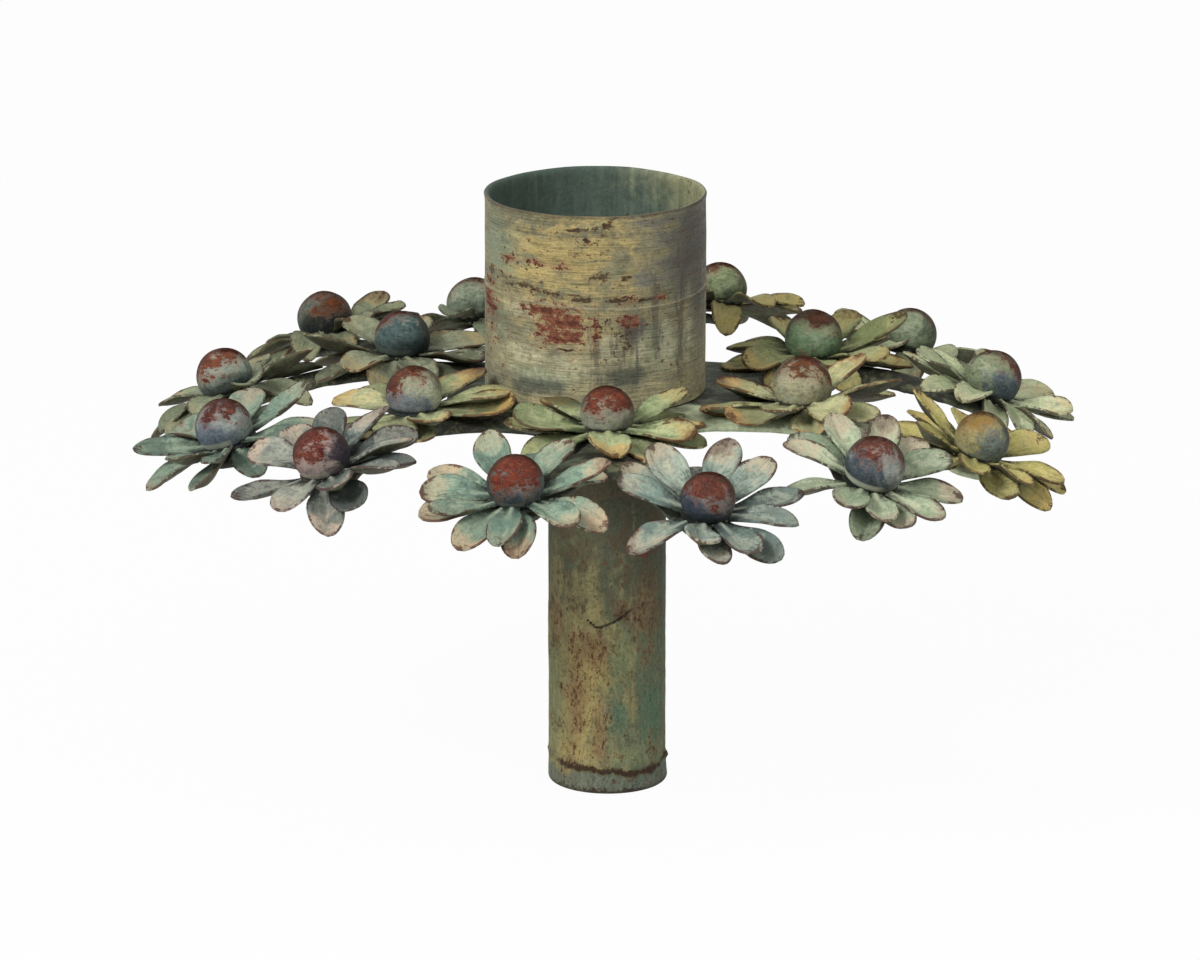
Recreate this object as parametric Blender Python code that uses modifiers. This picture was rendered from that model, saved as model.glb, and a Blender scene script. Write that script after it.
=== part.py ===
"""Bottle candle holder: a candle cup on a round stem that stands in a bottle's neck, with a wreath
of stamped sheet-metal flowers carried round the cup by a six-armed frame.

Sizes are in metres. The stem's closed end lies at the origin, the stem runs up along +Z, and the
photographed front faces -Y."""
import math
from collections import namedtuple

import bmesh
import bpy
from mathutils import Matrix, Vector

# Gap kept between pieces that touch on the real holder, and how near two points become one
SEAM = 0.0003
MERGE_DISTANCE = 0.00001

# Stem and its end cap
STEM_DIAMETER = 0.0225
STEM_WALL = 0.0015
STEM_LENGTH = 0.0732
END_CAP_OVERHANG = 0.0002
END_CAP_HEIGHT = 0.0037
END_CAP_EDGE_RADIUS = 0.0010

# Candle cup and its floor; the cup stands a little to the left of the stem's axis
CUP_DIAMETER = 0.0420
CUP_HEIGHT = 0.0380
CUP_WALL = 0.0009
CUP_LIP_FLARE = 0.0003
CUP_LIP_HEIGHT = 0.0012
CUP_LIP_CHAMFER = 0.0003
CUP_OFFSET = 0.0022
CUP_FLOOR_THICKNESS = 0.0012

# Petals: their widths are measured across the root, the widest line and the start of the tip, and
# the last two lines lie at these shares of the petal's length
PETAL_COUNT = 7
PETAL_SHEET = 0.0005
PETAL_ROOT_WIDTH = 0.0030
PETAL_ROOT_GAP = 0.00095
PETAL_WIDEST = 0.0062
PETAL_WIDEST_AT = 0.50
PETAL_TIP_WIDTH = 0.0050
PETAL_TIP_AT = 0.82
PETAL_CUP_DEPTH = 0.0009
PETAL_TIP_DROOP = 0.0010
LOWER_LIFT = math.radians(6)
UPPER_LIFT = math.radians(15)

# Flowers: each is turned this share of a petal further than the one before it, and each lower
# layer this share of a petal further than the layer above it
FLOWER_DIAMETER = 0.0374
FLOWER_TURN = 0.37
LOWER_LAYER_TURN = 0.5
BEAD_DIAMETER = 0.0112
BEAD_FOOT_CUT = 0.0022

# Wreath frame
FRAME_SHEET = 0.0012
ARM_WIDTH = 0.0120
TINE_WIDTH = 0.0096
DROOP_ANGLE = math.radians(22)

# How far apart things lie in the wreath, along its radius
CUP_TO_FLOWER_GAP = 0.0013
OUTER_FLOWER_GAP = 0.0006
ROW_OVERLAP = 0.0060
BAY_MARGIN = 0.0090
FORK_MARGIN = 0.0013
LEVEL_MARGIN = 0.0070
OUTER_SEAT_MARGIN = 0.0035

# Smoothness of the round pieces
CUP_SIDES = 48
STEM_SIDES = 30
BEAD_SIDES = 12
BEAD_RINGS = 6
BEND_STEPS = 3
HOLE_STEPS = 2
CORNER_STEPS = 2

# Where each arm points, and where its three flowers sit: the azimuth, then the shift outwards from
# the row's own radius and the rise above the plain bent sheet, both counted in placing steps. The
# places are set by eye, as the hand-made original's are.
PLACING_STEP = 0.0005
Seat = namedtuple("Seat", "azimuth shift_steps rise_steps")
Arm = namedtuple("Arm", "azimuth inner outer")
ARMS = (
    Arm(270, Seat(270, -12, 0), (Seat(257, -3, 4), Seat(284, 0, 0))),
    Arm(331, Seat(336, -2, 0), (Seat(310, 1, 4), Seat(338, 0, -2))),
    Arm(26, Seat(26, 6, 0), (Seat(5, -3, 2), Seat(39, 2, 0))),
    Arm(91, Seat(90, -2, 0), (Seat(73, 3, 6), Seat(110, 3, 0))),
    Arm(153, Seat(153, 6, 0), (Seat(138, -2, 4), Seat(170, -2, 0))),
    Arm(212, Seat(211, 2, 0), (Seat(198, 0, 0), Seat(226, 0, 6))),
)

# Sizes that follow from the ones above
FRAME_TOP = END_CAP_HEIGHT + SEAM + STEM_LENGTH
BEAD_HEIGHT = BEAD_DIAMETER - BEAD_FOOT_CUT
PETAL_DISC_RADIUS = PETAL_COUNT * (PETAL_ROOT_WIDTH + PETAL_ROOT_GAP) / math.tau
INNER_ROW_RADIUS = CUP_DIAMETER / 2 + CUP_TO_FLOWER_GAP + FLOWER_DIAMETER / 2
OUTER_SEATS = 2 * len(ARMS)
TIGHTEST_OUTER_ROW = (FLOWER_DIAMETER + OUTER_FLOWER_GAP) / (2 * math.sin(math.pi / OUTER_SEATS))
OUTER_ROW_RADIUS = max(TIGHTEST_OUTER_ROW, INNER_ROW_RADIUS + FLOWER_DIAMETER - ROW_OVERLAP)
BAY_END_RADIUS = CUP_DIAMETER / 2 + BAY_MARGIN
DROOP_START = INNER_ROW_RADIUS + LEVEL_MARGIN
DROOP_END = OUTER_ROW_RADIUS - OUTER_SEAT_MARGIN
BEND_RADIUS = (DROOP_END - DROOP_START) / math.sin(DROOP_ANGLE)

# Finishes: base colour, roughness and metallic value
FINISHES = {
    "cup_patina": ((0.36, 0.34, 0.24, 1), 0.75, 0.1),
    "stem_patina": ((0.24, 0.24, 0.15, 1), 0.75, 0.1),
    "frame_patina": ((0.12, 0.16, 0.12, 1), 0.8, 0.1),
    "petal_verdigris": ((0.27, 0.36, 0.30, 1), 0.7, 0.1),
    "petal_ochre": ((0.38, 0.38, 0.20, 1), 0.7, 0.1),
    "bead_rust": ((0.28, 0.13, 0.10, 1), 0.6, 0.1),
}


def clear_scene():
    for item in list(bpy.data.objects):
        bpy.data.objects.remove(item, do_unlink=True)


def finish(name):
    """The named painted-metal material, made once."""
    found = bpy.data.materials.get(name)
    if found:
        return found
    colour, roughness, metallic = FINISHES[name]
    material = bpy.data.materials.new(name)
    material.use_nodes = True
    shader = material.node_tree.nodes["Principled BSDF"]
    shader.inputs["Base Color"].default_value = colour
    shader.inputs["Roughness"].default_value = roughness
    shader.inputs["Metallic"].default_value = metallic
    material.diffuse_color = colour
    return material


def add_part(name, mesh, finish_name, place=None):
    """Puts a mesh in the parts' collection as one named piece."""
    part = bpy.data.objects.new(name, mesh)
    parts.objects.link(part)
    if place is not None:
        part.matrix_world = place
    if not mesh.materials:
        mesh.materials.append(finish(finish_name))
    return part


def mesh_from(bm, name, sharp_angle=math.radians(35)):
    mesh = bpy.data.meshes.new(name)
    bm.to_mesh(mesh)
    bm.free()
    mesh.shade_smooth()
    mesh.set_sharp_from_angle(angle=sharp_angle)
    return mesh


def turned(name, profile, sides, finish_name, place=None):
    """A body of revolution: the profile's (radius, height) points run down its outer side."""
    bm = bmesh.new()
    points = [bm.verts.new((radius, 0, height)) for radius, height in profile]
    on_axis = profile[0][0] == 0 and profile[-1][0] == 0
    pairs = list(zip(points, points[1:]))
    if not on_axis:
        pairs.append((points[-1], points[0]))
    for pair in pairs:
        bm.edges.new(pair)
    part = add_part(name, mesh_from(bm, name), finish_name, place)
    screw = part.modifiers.new("turn", "SCREW")
    screw.steps = screw.render_steps = sides
    screw.use_merge_vertices = True
    screw.merge_threshold = MERGE_DISTANCE
    screw.use_smooth_shade = True
    return part


def solidify(part, thickness):
    """Gives an open sheet its thickness below the surface that was drawn."""
    sheet = part.modifiers.new("sheet", "SOLIDIFY")
    sheet.thickness = thickness
    sheet.offset = -1
    return part


def polar(radius, azimuth, height=0.0):
    """A point at a distance from the stem's axis, with the azimuth in radians."""
    return Vector((radius * math.cos(azimuth), radius * math.sin(azimuth), height))


# Stem

def make_end_cap():
    radius = STEM_DIAMETER / 2 + END_CAP_OVERHANG
    corner = END_CAP_EDGE_RADIUS
    edge = []
    for step in range(CORNER_STEPS + 1):
        angle = math.radians(90) * step / CORNER_STEPS
        edge.append((radius - corner + corner * math.cos(angle), corner - corner * math.sin(angle)))
    profile = [(0, END_CAP_HEIGHT), (radius, END_CAP_HEIGHT)] + edge + [(0, 0)]
    return turned("stem_end_cap", profile, STEM_SIDES, "stem_patina")


def make_stem():
    outer = STEM_DIAMETER / 2
    inner = outer - STEM_WALL
    low = END_CAP_HEIGHT + SEAM
    high = FRAME_TOP
    profile = [(outer, high), (outer, low), (inner, low), (inner, high)]
    return turned("stem_tube", profile, STEM_SIDES, "stem_patina")


# Candle cup

CUP_PLACE = Matrix.Translation((-CUP_OFFSET, 0, FRAME_TOP + SEAM))


def make_cup():
    outer = CUP_DIAMETER / 2
    inner = outer - CUP_WALL
    lip_outer = outer + CUP_LIP_FLARE
    lip_inner = inner + CUP_LIP_FLARE
    neck = CUP_HEIGHT - CUP_LIP_HEIGHT
    crown = CUP_HEIGHT - CUP_LIP_CHAMFER
    profile = [
        (lip_outer - CUP_LIP_CHAMFER, CUP_HEIGHT), (lip_outer, crown), (outer, neck), (outer, 0),
        (inner, 0), (inner, neck), (lip_inner, crown), (lip_inner + CUP_LIP_CHAMFER, CUP_HEIGHT),
    ]
    return turned("candle_cup", profile, CUP_SIDES, "cup_patina", CUP_PLACE)


def make_cup_floor():
    radius = CUP_DIAMETER / 2 - CUP_WALL - SEAM
    profile = [(0, CUP_FLOOR_THICKNESS), (radius, CUP_FLOOR_THICKNESS), (radius, 0), (0, 0)]
    return turned("cup_floor", profile, CUP_SIDES, "cup_patina", CUP_PLACE)


# Wreath frame

def droop_angle_at(radius):
    """How far the sheet leans outwards at a distance from the stem's axis."""
    reach = max(0.0, min(radius, DROOP_END) - DROOP_START)
    return math.asin(reach / BEND_RADIUS)


def sheet_height(radius):
    """Height of the frame's upper face: level at first, then bent down and straight again."""
    lean = droop_angle_at(radius)
    beyond = max(0.0, radius - DROOP_END)
    return FRAME_TOP - BEND_RADIUS * (1 - math.cos(lean)) - beyond * math.tan(lean)


def on_sheet(x, y, rise=0.0):
    return Vector((x, y, sheet_height(math.hypot(x, y)) + rise))


def seat_point(seat, row_radius):
    return polar(row_radius + seat.shift_steps * PLACING_STEP, math.radians(seat.azimuth))


def angles_between_arms():
    """The angle from each arm to the next one."""
    azimuths = [math.radians(arm.azimuth) for arm in ARMS]
    return [(azimuths[(index + 1) % len(ARMS)] - azimuths[index]) % math.tau for index in range(len(ARMS))]


def bay_circle(half_angle):
    """Distance and radius of the circle that ends a bay: it touches the two arms beside the bay."""
    sine = math.sin(half_angle)
    radius = (BAY_END_RADIUS * sine - ARM_WIDTH / 2) / (1 - sine)
    return BAY_END_RADIUS + radius, radius


def fork_reach():
    """How far out the arms fork: just past the last point where a bay's round end touches an arm."""
    half_angles = [angle / 2 for angle in angles_between_arms()]
    return FORK_MARGIN + max(bay_circle(angle)[0] * math.cos(angle) for angle in half_angles)


def meeting_point(origin_a, along_a, origin_b, along_b):
    """Where two lines in the level plane cross."""
    cross = along_a.x * along_b.y - along_a.y * along_b.x
    gap = origin_b - origin_a
    return origin_a + along_a * ((gap.x * along_b.y - gap.y * along_b.x) / cross)


def bay_points(arm_azimuth, border_azimuth):
    """Points down one side of an arm's root, from the middle of the bay beside it to the straight."""
    half_angle = abs(border_azimuth - arm_azimuth)
    side = math.copysign(1, border_azimuth - arm_azimuth)
    distance, radius = bay_circle(half_angle)
    centre = polar(distance, half_angle)
    first = half_angle + math.pi
    last = math.radians(270)
    points = []
    for step in range(BEND_STEPS + 1):
        point = centre + polar(radius, first + (last - first) * step / BEND_STEPS)
        points.append(Vector((point.x, side * point.y, 0)))
    rotation = Matrix.Rotation(arm_azimuth, 3, "Z")
    return [rotation @ point for point in points]


def tine_rows(fork, seat, crotch, outer_corner, side):
    """Rows of points across one tine, from the fork to the rounded end under its flower."""
    target = seat_point(seat, OUTER_ROW_RADIUS)
    along = (target - fork).normalized()
    across = Vector((-along.y, along.x, 0)) * side
    length = (target - fork).length
    start = (crotch - fork).dot(along)
    half = TINE_WIDTH / 2
    rows = [(outer_corner, crotch)]
    for share in (1 / 3, 2 / 3, 1):
        middle = fork + along * (start + (length - start) * share)
        rows.append((middle + across * half, middle - across * half))
    end = []
    for step in range(1, 4):
        turn = math.radians(180) * step / 4
        end.append(target + across * half * math.cos(turn) + along * half * math.sin(turn))
    return rows, end


def add_vertex(bm, point, seat=None, share=0.0):
    rise = seat.rise_steps * PLACING_STEP * share if seat else 0.0
    return bm.verts.new(on_sheet(point.x, point.y, rise))


def add_face(bm, corners):
    """A face of the sheet that looks up."""
    face = bm.faces.new(corners)
    face.normal_update()
    if face.normal.z < 0:
        face.normal_flip()
    return face


def add_tine(bm, fork, seat, crotch, outer_corner, side):
    rows, end = tine_rows(fork, seat, crotch.co.xy.to_3d(), outer_corner.co.xy.to_3d(), side)
    previous = (outer_corner, crotch)
    for index, (left, right) in enumerate(rows[1:], 1):
        share = index / (len(rows) - 1)
        current = (add_vertex(bm, left, seat, share), add_vertex(bm, right, seat, share))
        add_face(bm, (previous[0], previous[1], current[1], current[0]))
        previous = current
    tip = [add_vertex(bm, point, seat, 1) for point in end]
    add_face(bm, [previous[0], *tip, previous[1]])


def hole_rings(bm, azimuth, right_angle, left_angle):
    """Vertices round the stem's hole, from each of the bays beside an arm to the arm's middle line."""
    widest_step = max(angles_between_arms()) / 2 / HOLE_STEPS
    radius = (STEM_DIAMETER / 2 + SEAM) / math.cos(widest_step / 2)
    rings = []
    for angle in (-right_angle, left_angle):
        shares = [1 - step / HOLE_STEPS for step in range(HOLE_STEPS + 1)]
        rings.append([add_vertex(bm, polar(radius, azimuth + angle * share)) for share in shares])
    return rings


def make_frame():
    """The bent sheet: a hub that the stem passes through, and six forked arms with bays between."""
    bm = bmesh.new()
    azimuths = [math.radians(arm.azimuth) for arm in ARMS]
    turns = angles_between_arms()
    fork_distance = fork_reach()
    bays = []
    for azimuth, turn in zip(azimuths, turns):
        bays.append(add_vertex(bm, polar(BAY_END_RADIUS, azimuth + turn / 2)))
    for index, arm in enumerate(ARMS):
        azimuth = azimuths[index]
        right_points = bay_points(azimuth, azimuth - turns[index - 1] / 2)
        left_points = bay_points(azimuth, azimuth + turns[index] / 2)
        right = [bays[index - 1]] + [add_vertex(bm, point) for point in right_points[1:]]
        left = [bays[index]] + [add_vertex(bm, point) for point in left_points[1:]]
        along = polar(1, azimuth)
        across = Vector((-along.y, along.x, 0))
        fork = along * fork_distance
        half = ARM_WIDTH / 2
        right.append(add_vertex(bm, fork - across * half))
        left.append(add_vertex(bm, fork + across * half))
        middle = []
        for low, high in zip(right, left):
            reach = (low.co.dot(along) + high.co.dot(along)) / 2
            middle.append(add_vertex(bm, along * reach))
        rings = hole_rings(bm, azimuth, turns[index - 1] / 2, turns[index] / 2)
        for ring, side in zip(rings, (right, left)):
            add_face(bm, (side[0], *ring, middle[0]))
        for row in range(len(middle) - 1):
            add_face(bm, (right[row], right[row + 1], middle[row + 1], middle[row]))
            add_face(bm, (middle[row], middle[row + 1], left[row + 1], left[row]))
        lines = []
        for seat, side in zip(arm.outer, (1, -1)):
            direction = (seat_point(seat, OUTER_ROW_RADIUS) - fork).normalized()
            normal = Vector((-direction.y, direction.x, 0)) * side
            lines.append((fork + normal * TINE_WIDTH / 2, direction))
        crotch = add_vertex(bm, meeting_point(*lines[0], *lines[1]))
        add_face(bm, (right[-1], crotch, middle[-1]))
        add_face(bm, (middle[-1], crotch, left[-1]))
        add_tine(bm, fork, arm.outer[0], crotch, right[-1], -1)
        add_tine(bm, fork, arm.outer[1], crotch, left[-1], 1)
    bmesh.ops.remove_doubles(bm, verts=bm.verts, dist=MERGE_DISTANCE)
    part = add_part("wreath_frame", mesh_from(bm, "wreath_frame"), "frame_patina")
    return solidify(part, FRAME_SHEET)


# Flowers

def petal_rows():
    """Distance from the flower's axis and half width at each line drawn across a petal."""
    length = FLOWER_DIAMETER / 2 - PETAL_DISC_RADIUS
    shares = (0.0, PETAL_WIDEST_AT, PETAL_TIP_AT)
    widths = (PETAL_ROOT_WIDTH, PETAL_WIDEST, PETAL_TIP_WIDTH)
    rows = [(PETAL_DISC_RADIUS + length * share, width / 2) for share, width in zip(shares, widths)]
    return rows, length


def petal_point(distance, aside, lift, length):
    """A point of a cupped petal that points along +X: its edges curl up and its tip droops."""
    reach = distance - PETAL_DISC_RADIUS
    share = reach / length
    fullness = min(1.0, share / PETAL_WIDEST_AT)
    rim = abs(aside) / (PETAL_WIDEST / 2) * fullness * PETAL_CUP_DEPTH
    height = reach * math.sin(lift) + rim - PETAL_TIP_DROOP * share ** 3
    return Vector((PETAL_DISC_RADIUS + reach * math.cos(lift), aside, height))


def clear_of_cup(point, place):
    """Turns a petal up along the cup's wall where it would run into it."""
    limit = CUP_DIAMETER / 2 + SEAM + PETAL_CUP_DEPTH
    world = place @ point
    axis = Vector((-CUP_OFFSET, 0, world.z))
    away = world - axis
    if away.length >= limit:
        return point
    short = limit - away.length
    turned_up = axis + away.normalized() * limit + Vector((0, 0, short))
    return place.inverted() @ turned_up


def petal_layer(name, lift, first_turn, finish_name, place, near_cup):
    """One stamped layer: petals round a flat disc, drawn as its upper face."""
    rows, length = petal_rows()
    bm = bmesh.new()
    centre = bm.verts.new((0, 0, 0))
    ring = []
    for petal in range(PETAL_COUNT):
        turn = Matrix.Rotation(math.tau * (petal + first_turn) / PETAL_COUNT, 3, "Z")

        def vertex(distance, aside):
            point = turn @ petal_point(distance, aside, lift, length)
            if near_cup:
                point = clear_of_cup(point, place)
            return bm.verts.new(point)

        lines = [[vertex(distance, half * side) for side in (-1, 0, 1)] for distance, half in rows]
        tip = vertex(FLOWER_DIAMETER / 2, 0)
        for near, far in zip(lines, lines[1:]):
            bm.faces.new((near[0], far[0], far[1], near[1]))
            bm.faces.new((near[1], far[1], far[2], near[2]))
        bm.faces.new((lines[-1][0], tip, lines[-1][1]))
        bm.faces.new((lines[-1][1], tip, lines[-1][2]))
        ring.extend(lines[0])
    for index, point in enumerate(ring):
        bm.faces.new((centre, point, ring[(index + 1) % len(ring)]))
    part = add_part(name, mesh_from(bm, name), finish_name, place)
    return solidify(part, PETAL_SHEET)


def make_bead(name, place):
    """A stamped dome, a little more than half a ball, seated on the upper petals."""
    radius = BEAD_DIAMETER / 2
    centre = BEAD_HEIGHT - radius
    lowest = math.asin(-centre / radius)
    profile = []
    for ring in range(BEAD_RINGS + 1):
        angle = math.radians(90) + (lowest - math.radians(90)) * ring / BEAD_RINGS
        profile.append((radius * math.cos(angle), centre + radius * math.sin(angle)))
    profile[0] = (0, BEAD_HEIGHT)
    profile.append((0, 0))
    return turned(name, profile, BEAD_SIDES, "bead_rust", place)


def seat_place(seat, row_radius):
    """The frame of a flower: its origin on the frame's upper face, its axis square to the sheet."""
    level = seat_point(seat, row_radius)
    point = on_sheet(level.x, level.y, seat.rise_steps * PLACING_STEP)
    lean = Matrix.Rotation(droop_angle_at(level.length), 4, "Y")
    return Matrix.Translation(point) @ Matrix.Rotation(math.radians(seat.azimuth), 4, "Z") @ lean


def make_flower(label, seat, row_radius, near_cup, turn):
    base = seat_place(seat, row_radius)
    lower = base @ Matrix.Translation((0, 0, SEAM + PETAL_SHEET))
    upper = lower @ Matrix.Translation((0, 0, SEAM + PETAL_SHEET))
    bead = upper @ Matrix.Translation((0, 0, SEAM))
    colour = "petal_ochre" if near_cup else "petal_verdigris"
    petal_layer(f"{label}_lower_petals", LOWER_LIFT, turn + LOWER_LAYER_TURN, colour, lower, near_cup)
    petal_layer(f"{label}_upper_petals", UPPER_LIFT, turn, colour, upper, near_cup)
    make_bead(f"{label}_bead", bead)


def make_flowers():
    """Each flower is turned a little further about its own axis than the one before it."""
    turn = 0.0
    for index, arm in enumerate(ARMS, 1):
        make_flower(f"inner_flower_{index}", arm.inner, INNER_ROW_RADIUS, True, turn)
        turn += FLOWER_TURN
        for letter, seat in zip("ab", arm.outer):
            make_flower(f"outer_flower_{index}{letter}", seat, OUTER_ROW_RADIUS, False, turn)
            turn += FLOWER_TURN


clear_scene()
parts = bpy.data.collections.new("bottle_candle_holder")
bpy.context.scene.collection.children.link(parts)
make_end_cap()
make_stem()
make_frame()
make_cup()
make_cup_floor()
make_flowers()
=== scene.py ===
"""Bottle candle holder: the worn verdigris finish of its cup, stem, wreath frame and flowers.

Lengths are in metres, +Z is up and the photographed front faces -Y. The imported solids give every
place and size, and each piece made here sits where its solid lies."""
import math
from collections import namedtuple

import bmesh
import bpy
import numpy as np
from mathutils import Matrix, Vector, geometry, noise
from mathutils.bvhtree import BVHTree
from mathutils.kdtree import KDTree


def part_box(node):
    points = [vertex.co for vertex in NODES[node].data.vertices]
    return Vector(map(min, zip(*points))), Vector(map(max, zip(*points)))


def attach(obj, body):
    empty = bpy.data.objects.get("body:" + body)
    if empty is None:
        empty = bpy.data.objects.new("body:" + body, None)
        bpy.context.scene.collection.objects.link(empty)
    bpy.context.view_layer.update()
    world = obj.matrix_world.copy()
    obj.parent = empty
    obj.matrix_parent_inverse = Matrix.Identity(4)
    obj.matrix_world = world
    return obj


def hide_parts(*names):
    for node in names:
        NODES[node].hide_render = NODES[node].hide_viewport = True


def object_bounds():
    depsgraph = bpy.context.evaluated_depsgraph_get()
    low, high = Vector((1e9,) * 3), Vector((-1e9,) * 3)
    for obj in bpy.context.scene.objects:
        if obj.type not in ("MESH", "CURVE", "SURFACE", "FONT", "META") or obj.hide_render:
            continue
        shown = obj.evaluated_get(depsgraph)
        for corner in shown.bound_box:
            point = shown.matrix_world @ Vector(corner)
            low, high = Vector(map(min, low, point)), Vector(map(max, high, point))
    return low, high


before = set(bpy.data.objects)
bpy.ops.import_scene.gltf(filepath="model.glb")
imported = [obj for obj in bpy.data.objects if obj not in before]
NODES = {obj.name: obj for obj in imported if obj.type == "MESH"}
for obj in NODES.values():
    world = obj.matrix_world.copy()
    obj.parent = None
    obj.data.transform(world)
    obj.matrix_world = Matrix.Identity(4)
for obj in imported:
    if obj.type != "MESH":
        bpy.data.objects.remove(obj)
cad_low, cad_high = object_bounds()
BODY = "root"
SHARP_ANGLE = math.radians(50)
MERGE_DISTANCE = 0.00001

# Camera: where the photograph was taken from
CAMERA_PLACE = (-0.00134, -1.407, 0.4462)
CAMERA_DIP = math.radians(15.383)
CAMERA_LENS = 230.6
CAMERA_SENSOR = 36

# Light: each lamp's direction from the holder, its power and its size
LAMPS = {
    "key": ((-0.50, -0.61, 0.61), 10.4, 0.35),
    "fill": ((0.55, -0.50, 0.67), 4.4, 0.9),
}
LAMP_DISTANCE = 1.2
SKY_STRENGTH = 0.38
FLOOR_WHITE = 0.75
FLOOR_GLOW = 0.965
FLOOR_HALF_WIDTH = 5.0

# Cup, its floor and the stem. Bumps, waves, swells and lumps are layers of (size, share, seed).
CUP_ROWS = 46
CUP_SIDES = 144
CUP_WALL = 0.0009
CUP_LIP_FLARE = 0.0003
CUP_LIP_HEIGHT = 0.0012
CUP_LIP_DIP = 0.0002
CUP_LIP_STEPS = 6
CUP_SEAM_HEIGHT = 0.0980
CUP_SEAM_WIDTH = 0.0004
CUP_SEAM_WAVE = 0.0005
CUP_SEAM_PHASE = 0.6
CUP_SEAM_ROWS = 6
CUP_SEAM_RIDGE = 0.00012
CUP_DENT = 0.00016
CUP_BUMPS = ((0.018, 1.0, 3), (0.005, 0.4, 8))
CUP_LIP_WAVES = ((0.009, 1.0, 5),)
CUP_FLOOR_DISH = 0.0003
CUP_FLOOR_RINGS = (0, 0.3, 0.6, 0.85)
STEM_ROWS = 170
STEM_WELD_ROWS = 26
STEM_SIDES = 132
STEM_WALL = 0.0015
STEM_DENT = 0.00009
STEM_BUMPS = ((0.012, 1.0, 2), (0.002, 0.5, 6))
WELD_HEIGHT = 0.0046
WELD_WIDTH = 0.0006
WELD_SLOPE = 0.0009
WELD_WANDER = 0.0007
WELD_WAVES = ((0.003, 1.0, 4), (0.0008, 0.5, 7))
WELD_CURL = 0.0016
WELD_CURL_AT = 1.4
WELD_CURL_WIDTH = 0.35
WELD_WORN = 0.85
WELD_WORN_AT = -1.25
WELD_WORN_WIDTH = 0.45
WELD_RIDGE = 0.00045
WELD_SWELLS = ((0.0022, 1.1, 12),)
WELD_LUMPS = ((0.0016, 0.9, 9),)
WELD_FILL = 0.75
WELD_THINNEST = 0.15
CAP_BULGE = 0.0004
CAP_BULGE_SIDE = 0.4
CAP_CORNER = 0.0010
CAP_CORNER_STEPS = 6
CAP_ROWS = 10
CAP_DISH = 0.0004
CAP_DISH_RINGS = ((0, 1), (0.35, 0.8), (0.75, 0.2))
CRACK_DEPTH = 0.00022
CRACK_WIDTH = 0.00028

# Flowers: the petals' sizes are measured as stamped, before they are bent. Calm takes away some
# of the inner petals' droop, and sag adds some towards the front.
PETALS_IN_A_LAYER = 7
FLOWER_TURN = 0.37
FLOWER_RADIUS = 0.0187
DISC_RADIUS = 0.0044
PETAL_SHEET = 0.00045
PETAL_WIDTH_SPREAD = 0.10
PETAL_NECK = 0.0026
PETAL_FULL = 0.0063
PETAL_FULL_AT = 0.60
PETAL_POINT = (2.3, 0.56)
PETAL_CUP_DEPTH = 0.0015
PETAL_CUP_CURVE = 1.7
PETAL_RIB = 0.0007
PETAL_RIB_WIDTH = 0.4
PETAL_RIB_REACH = 0.45
PETAL_CREASE = 0.0004
PETAL_CREASE_WIDTH = 0.16
PETAL_ROWS = 14
PETAL_COLUMNS = 10
PETAL_ROWS_TO_TIP = 1.35
LOWER_LIFT = math.radians(4)
UPPER_LIFT = math.radians(15)
LAYER_STEP = 0.0008
LAYER_SEAT = 0.0003
OUTER_LEAN = math.radians(22)
PETAL_DROOP = 0.0052
PETAL_SWEEP = 0.0014
PETAL_TWIST = 0.0009
TWIST_DRAW = 97
SWEEP_DRAW = 71
PETAL_DENT = 0.00035
PETAL_DENT_SIZE = 0.0035
LOWER_SHADOW = 0.45
INNER_WIDTH = 1.18
INNER_LENGTH = 1.06
INNER_CALM = 0.12
INNER_SAG = 0.60
BACK_SAG = 0.85
LOWER_SEED = 40
UPPER_SEED = 80
REST_GAP = 0.0007
REST_REACH = 0.0025
INNER_DIP = math.radians(5)
CUP_CLEARANCE = 0.0006
CUP_BEND = 0.0007
CUP_BEND_REACH = 12
LOWER_SPREAD = {"lift": 0.09, "yaw": 0.13, "roll": 0.24, "short": 0.07, "droop": 0.42}
UPPER_SPREAD = {"lift": 0.12, "yaw": 0.15, "roll": 0.28, "short": 0.14, "droop": 0.35}

# Beads
BEAD_RADIUS = 0.0056
BEAD_HEIGHT = 0.0090
BEAD_LOWEST = 0.0004
BEAD_FLANGE = 0.0005
BEAD_FLANGE_TOP = 0.00025
BEAD_SINK = 0.0006
BEAD_SIDES = 48
BEAD_ROWS = 26
BEAD_DENT = 0.00012
BEAD_DENT_INWARDS = 0.3
BEAD_DENT_SIZE = 0.004

# Wreath frame
FRAME_GRID = 0.0022
FRAME_ROW = 0.87 * FRAME_GRID
FRAME_EDGE_STEP = 0.0009
FRAME_SMOOTHING = 8
FRAME_CORNER_CUTS = 2
FRAME_BUCKLE = 0.0003
FRAME_BUCKLE_SIZE = 0.014
FRAME_SHEET = 0.0012
FRAME_EDGE_WIDTH = 0.0050
FRAME_EDGE_DROP = 0.0012
HOLE_RADIUS = 0.0115


def paint(code):
    """A paint's colour as a shader wants it, from its six-digit code on a colour card."""
    channels = [int(code[place:place + 2], 16) / 255 for place in (0, 2, 4)]
    linear = [c / 12.92 if c <= 0.04045 else ((c + 0.055) / 1.055) ** 2.4 for c in channels]
    return (*linear, 1.0)


# Node wiring

def arithmetic(operation, reflected=False):
    """An operator of Signal that adds a Math node. A reflected one has its values swapped."""
    def operator(signal, other):
        values = (other, signal) if reflected else (signal, other)
        return signal.bench.maths(operation, *values)

    return operator


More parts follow.
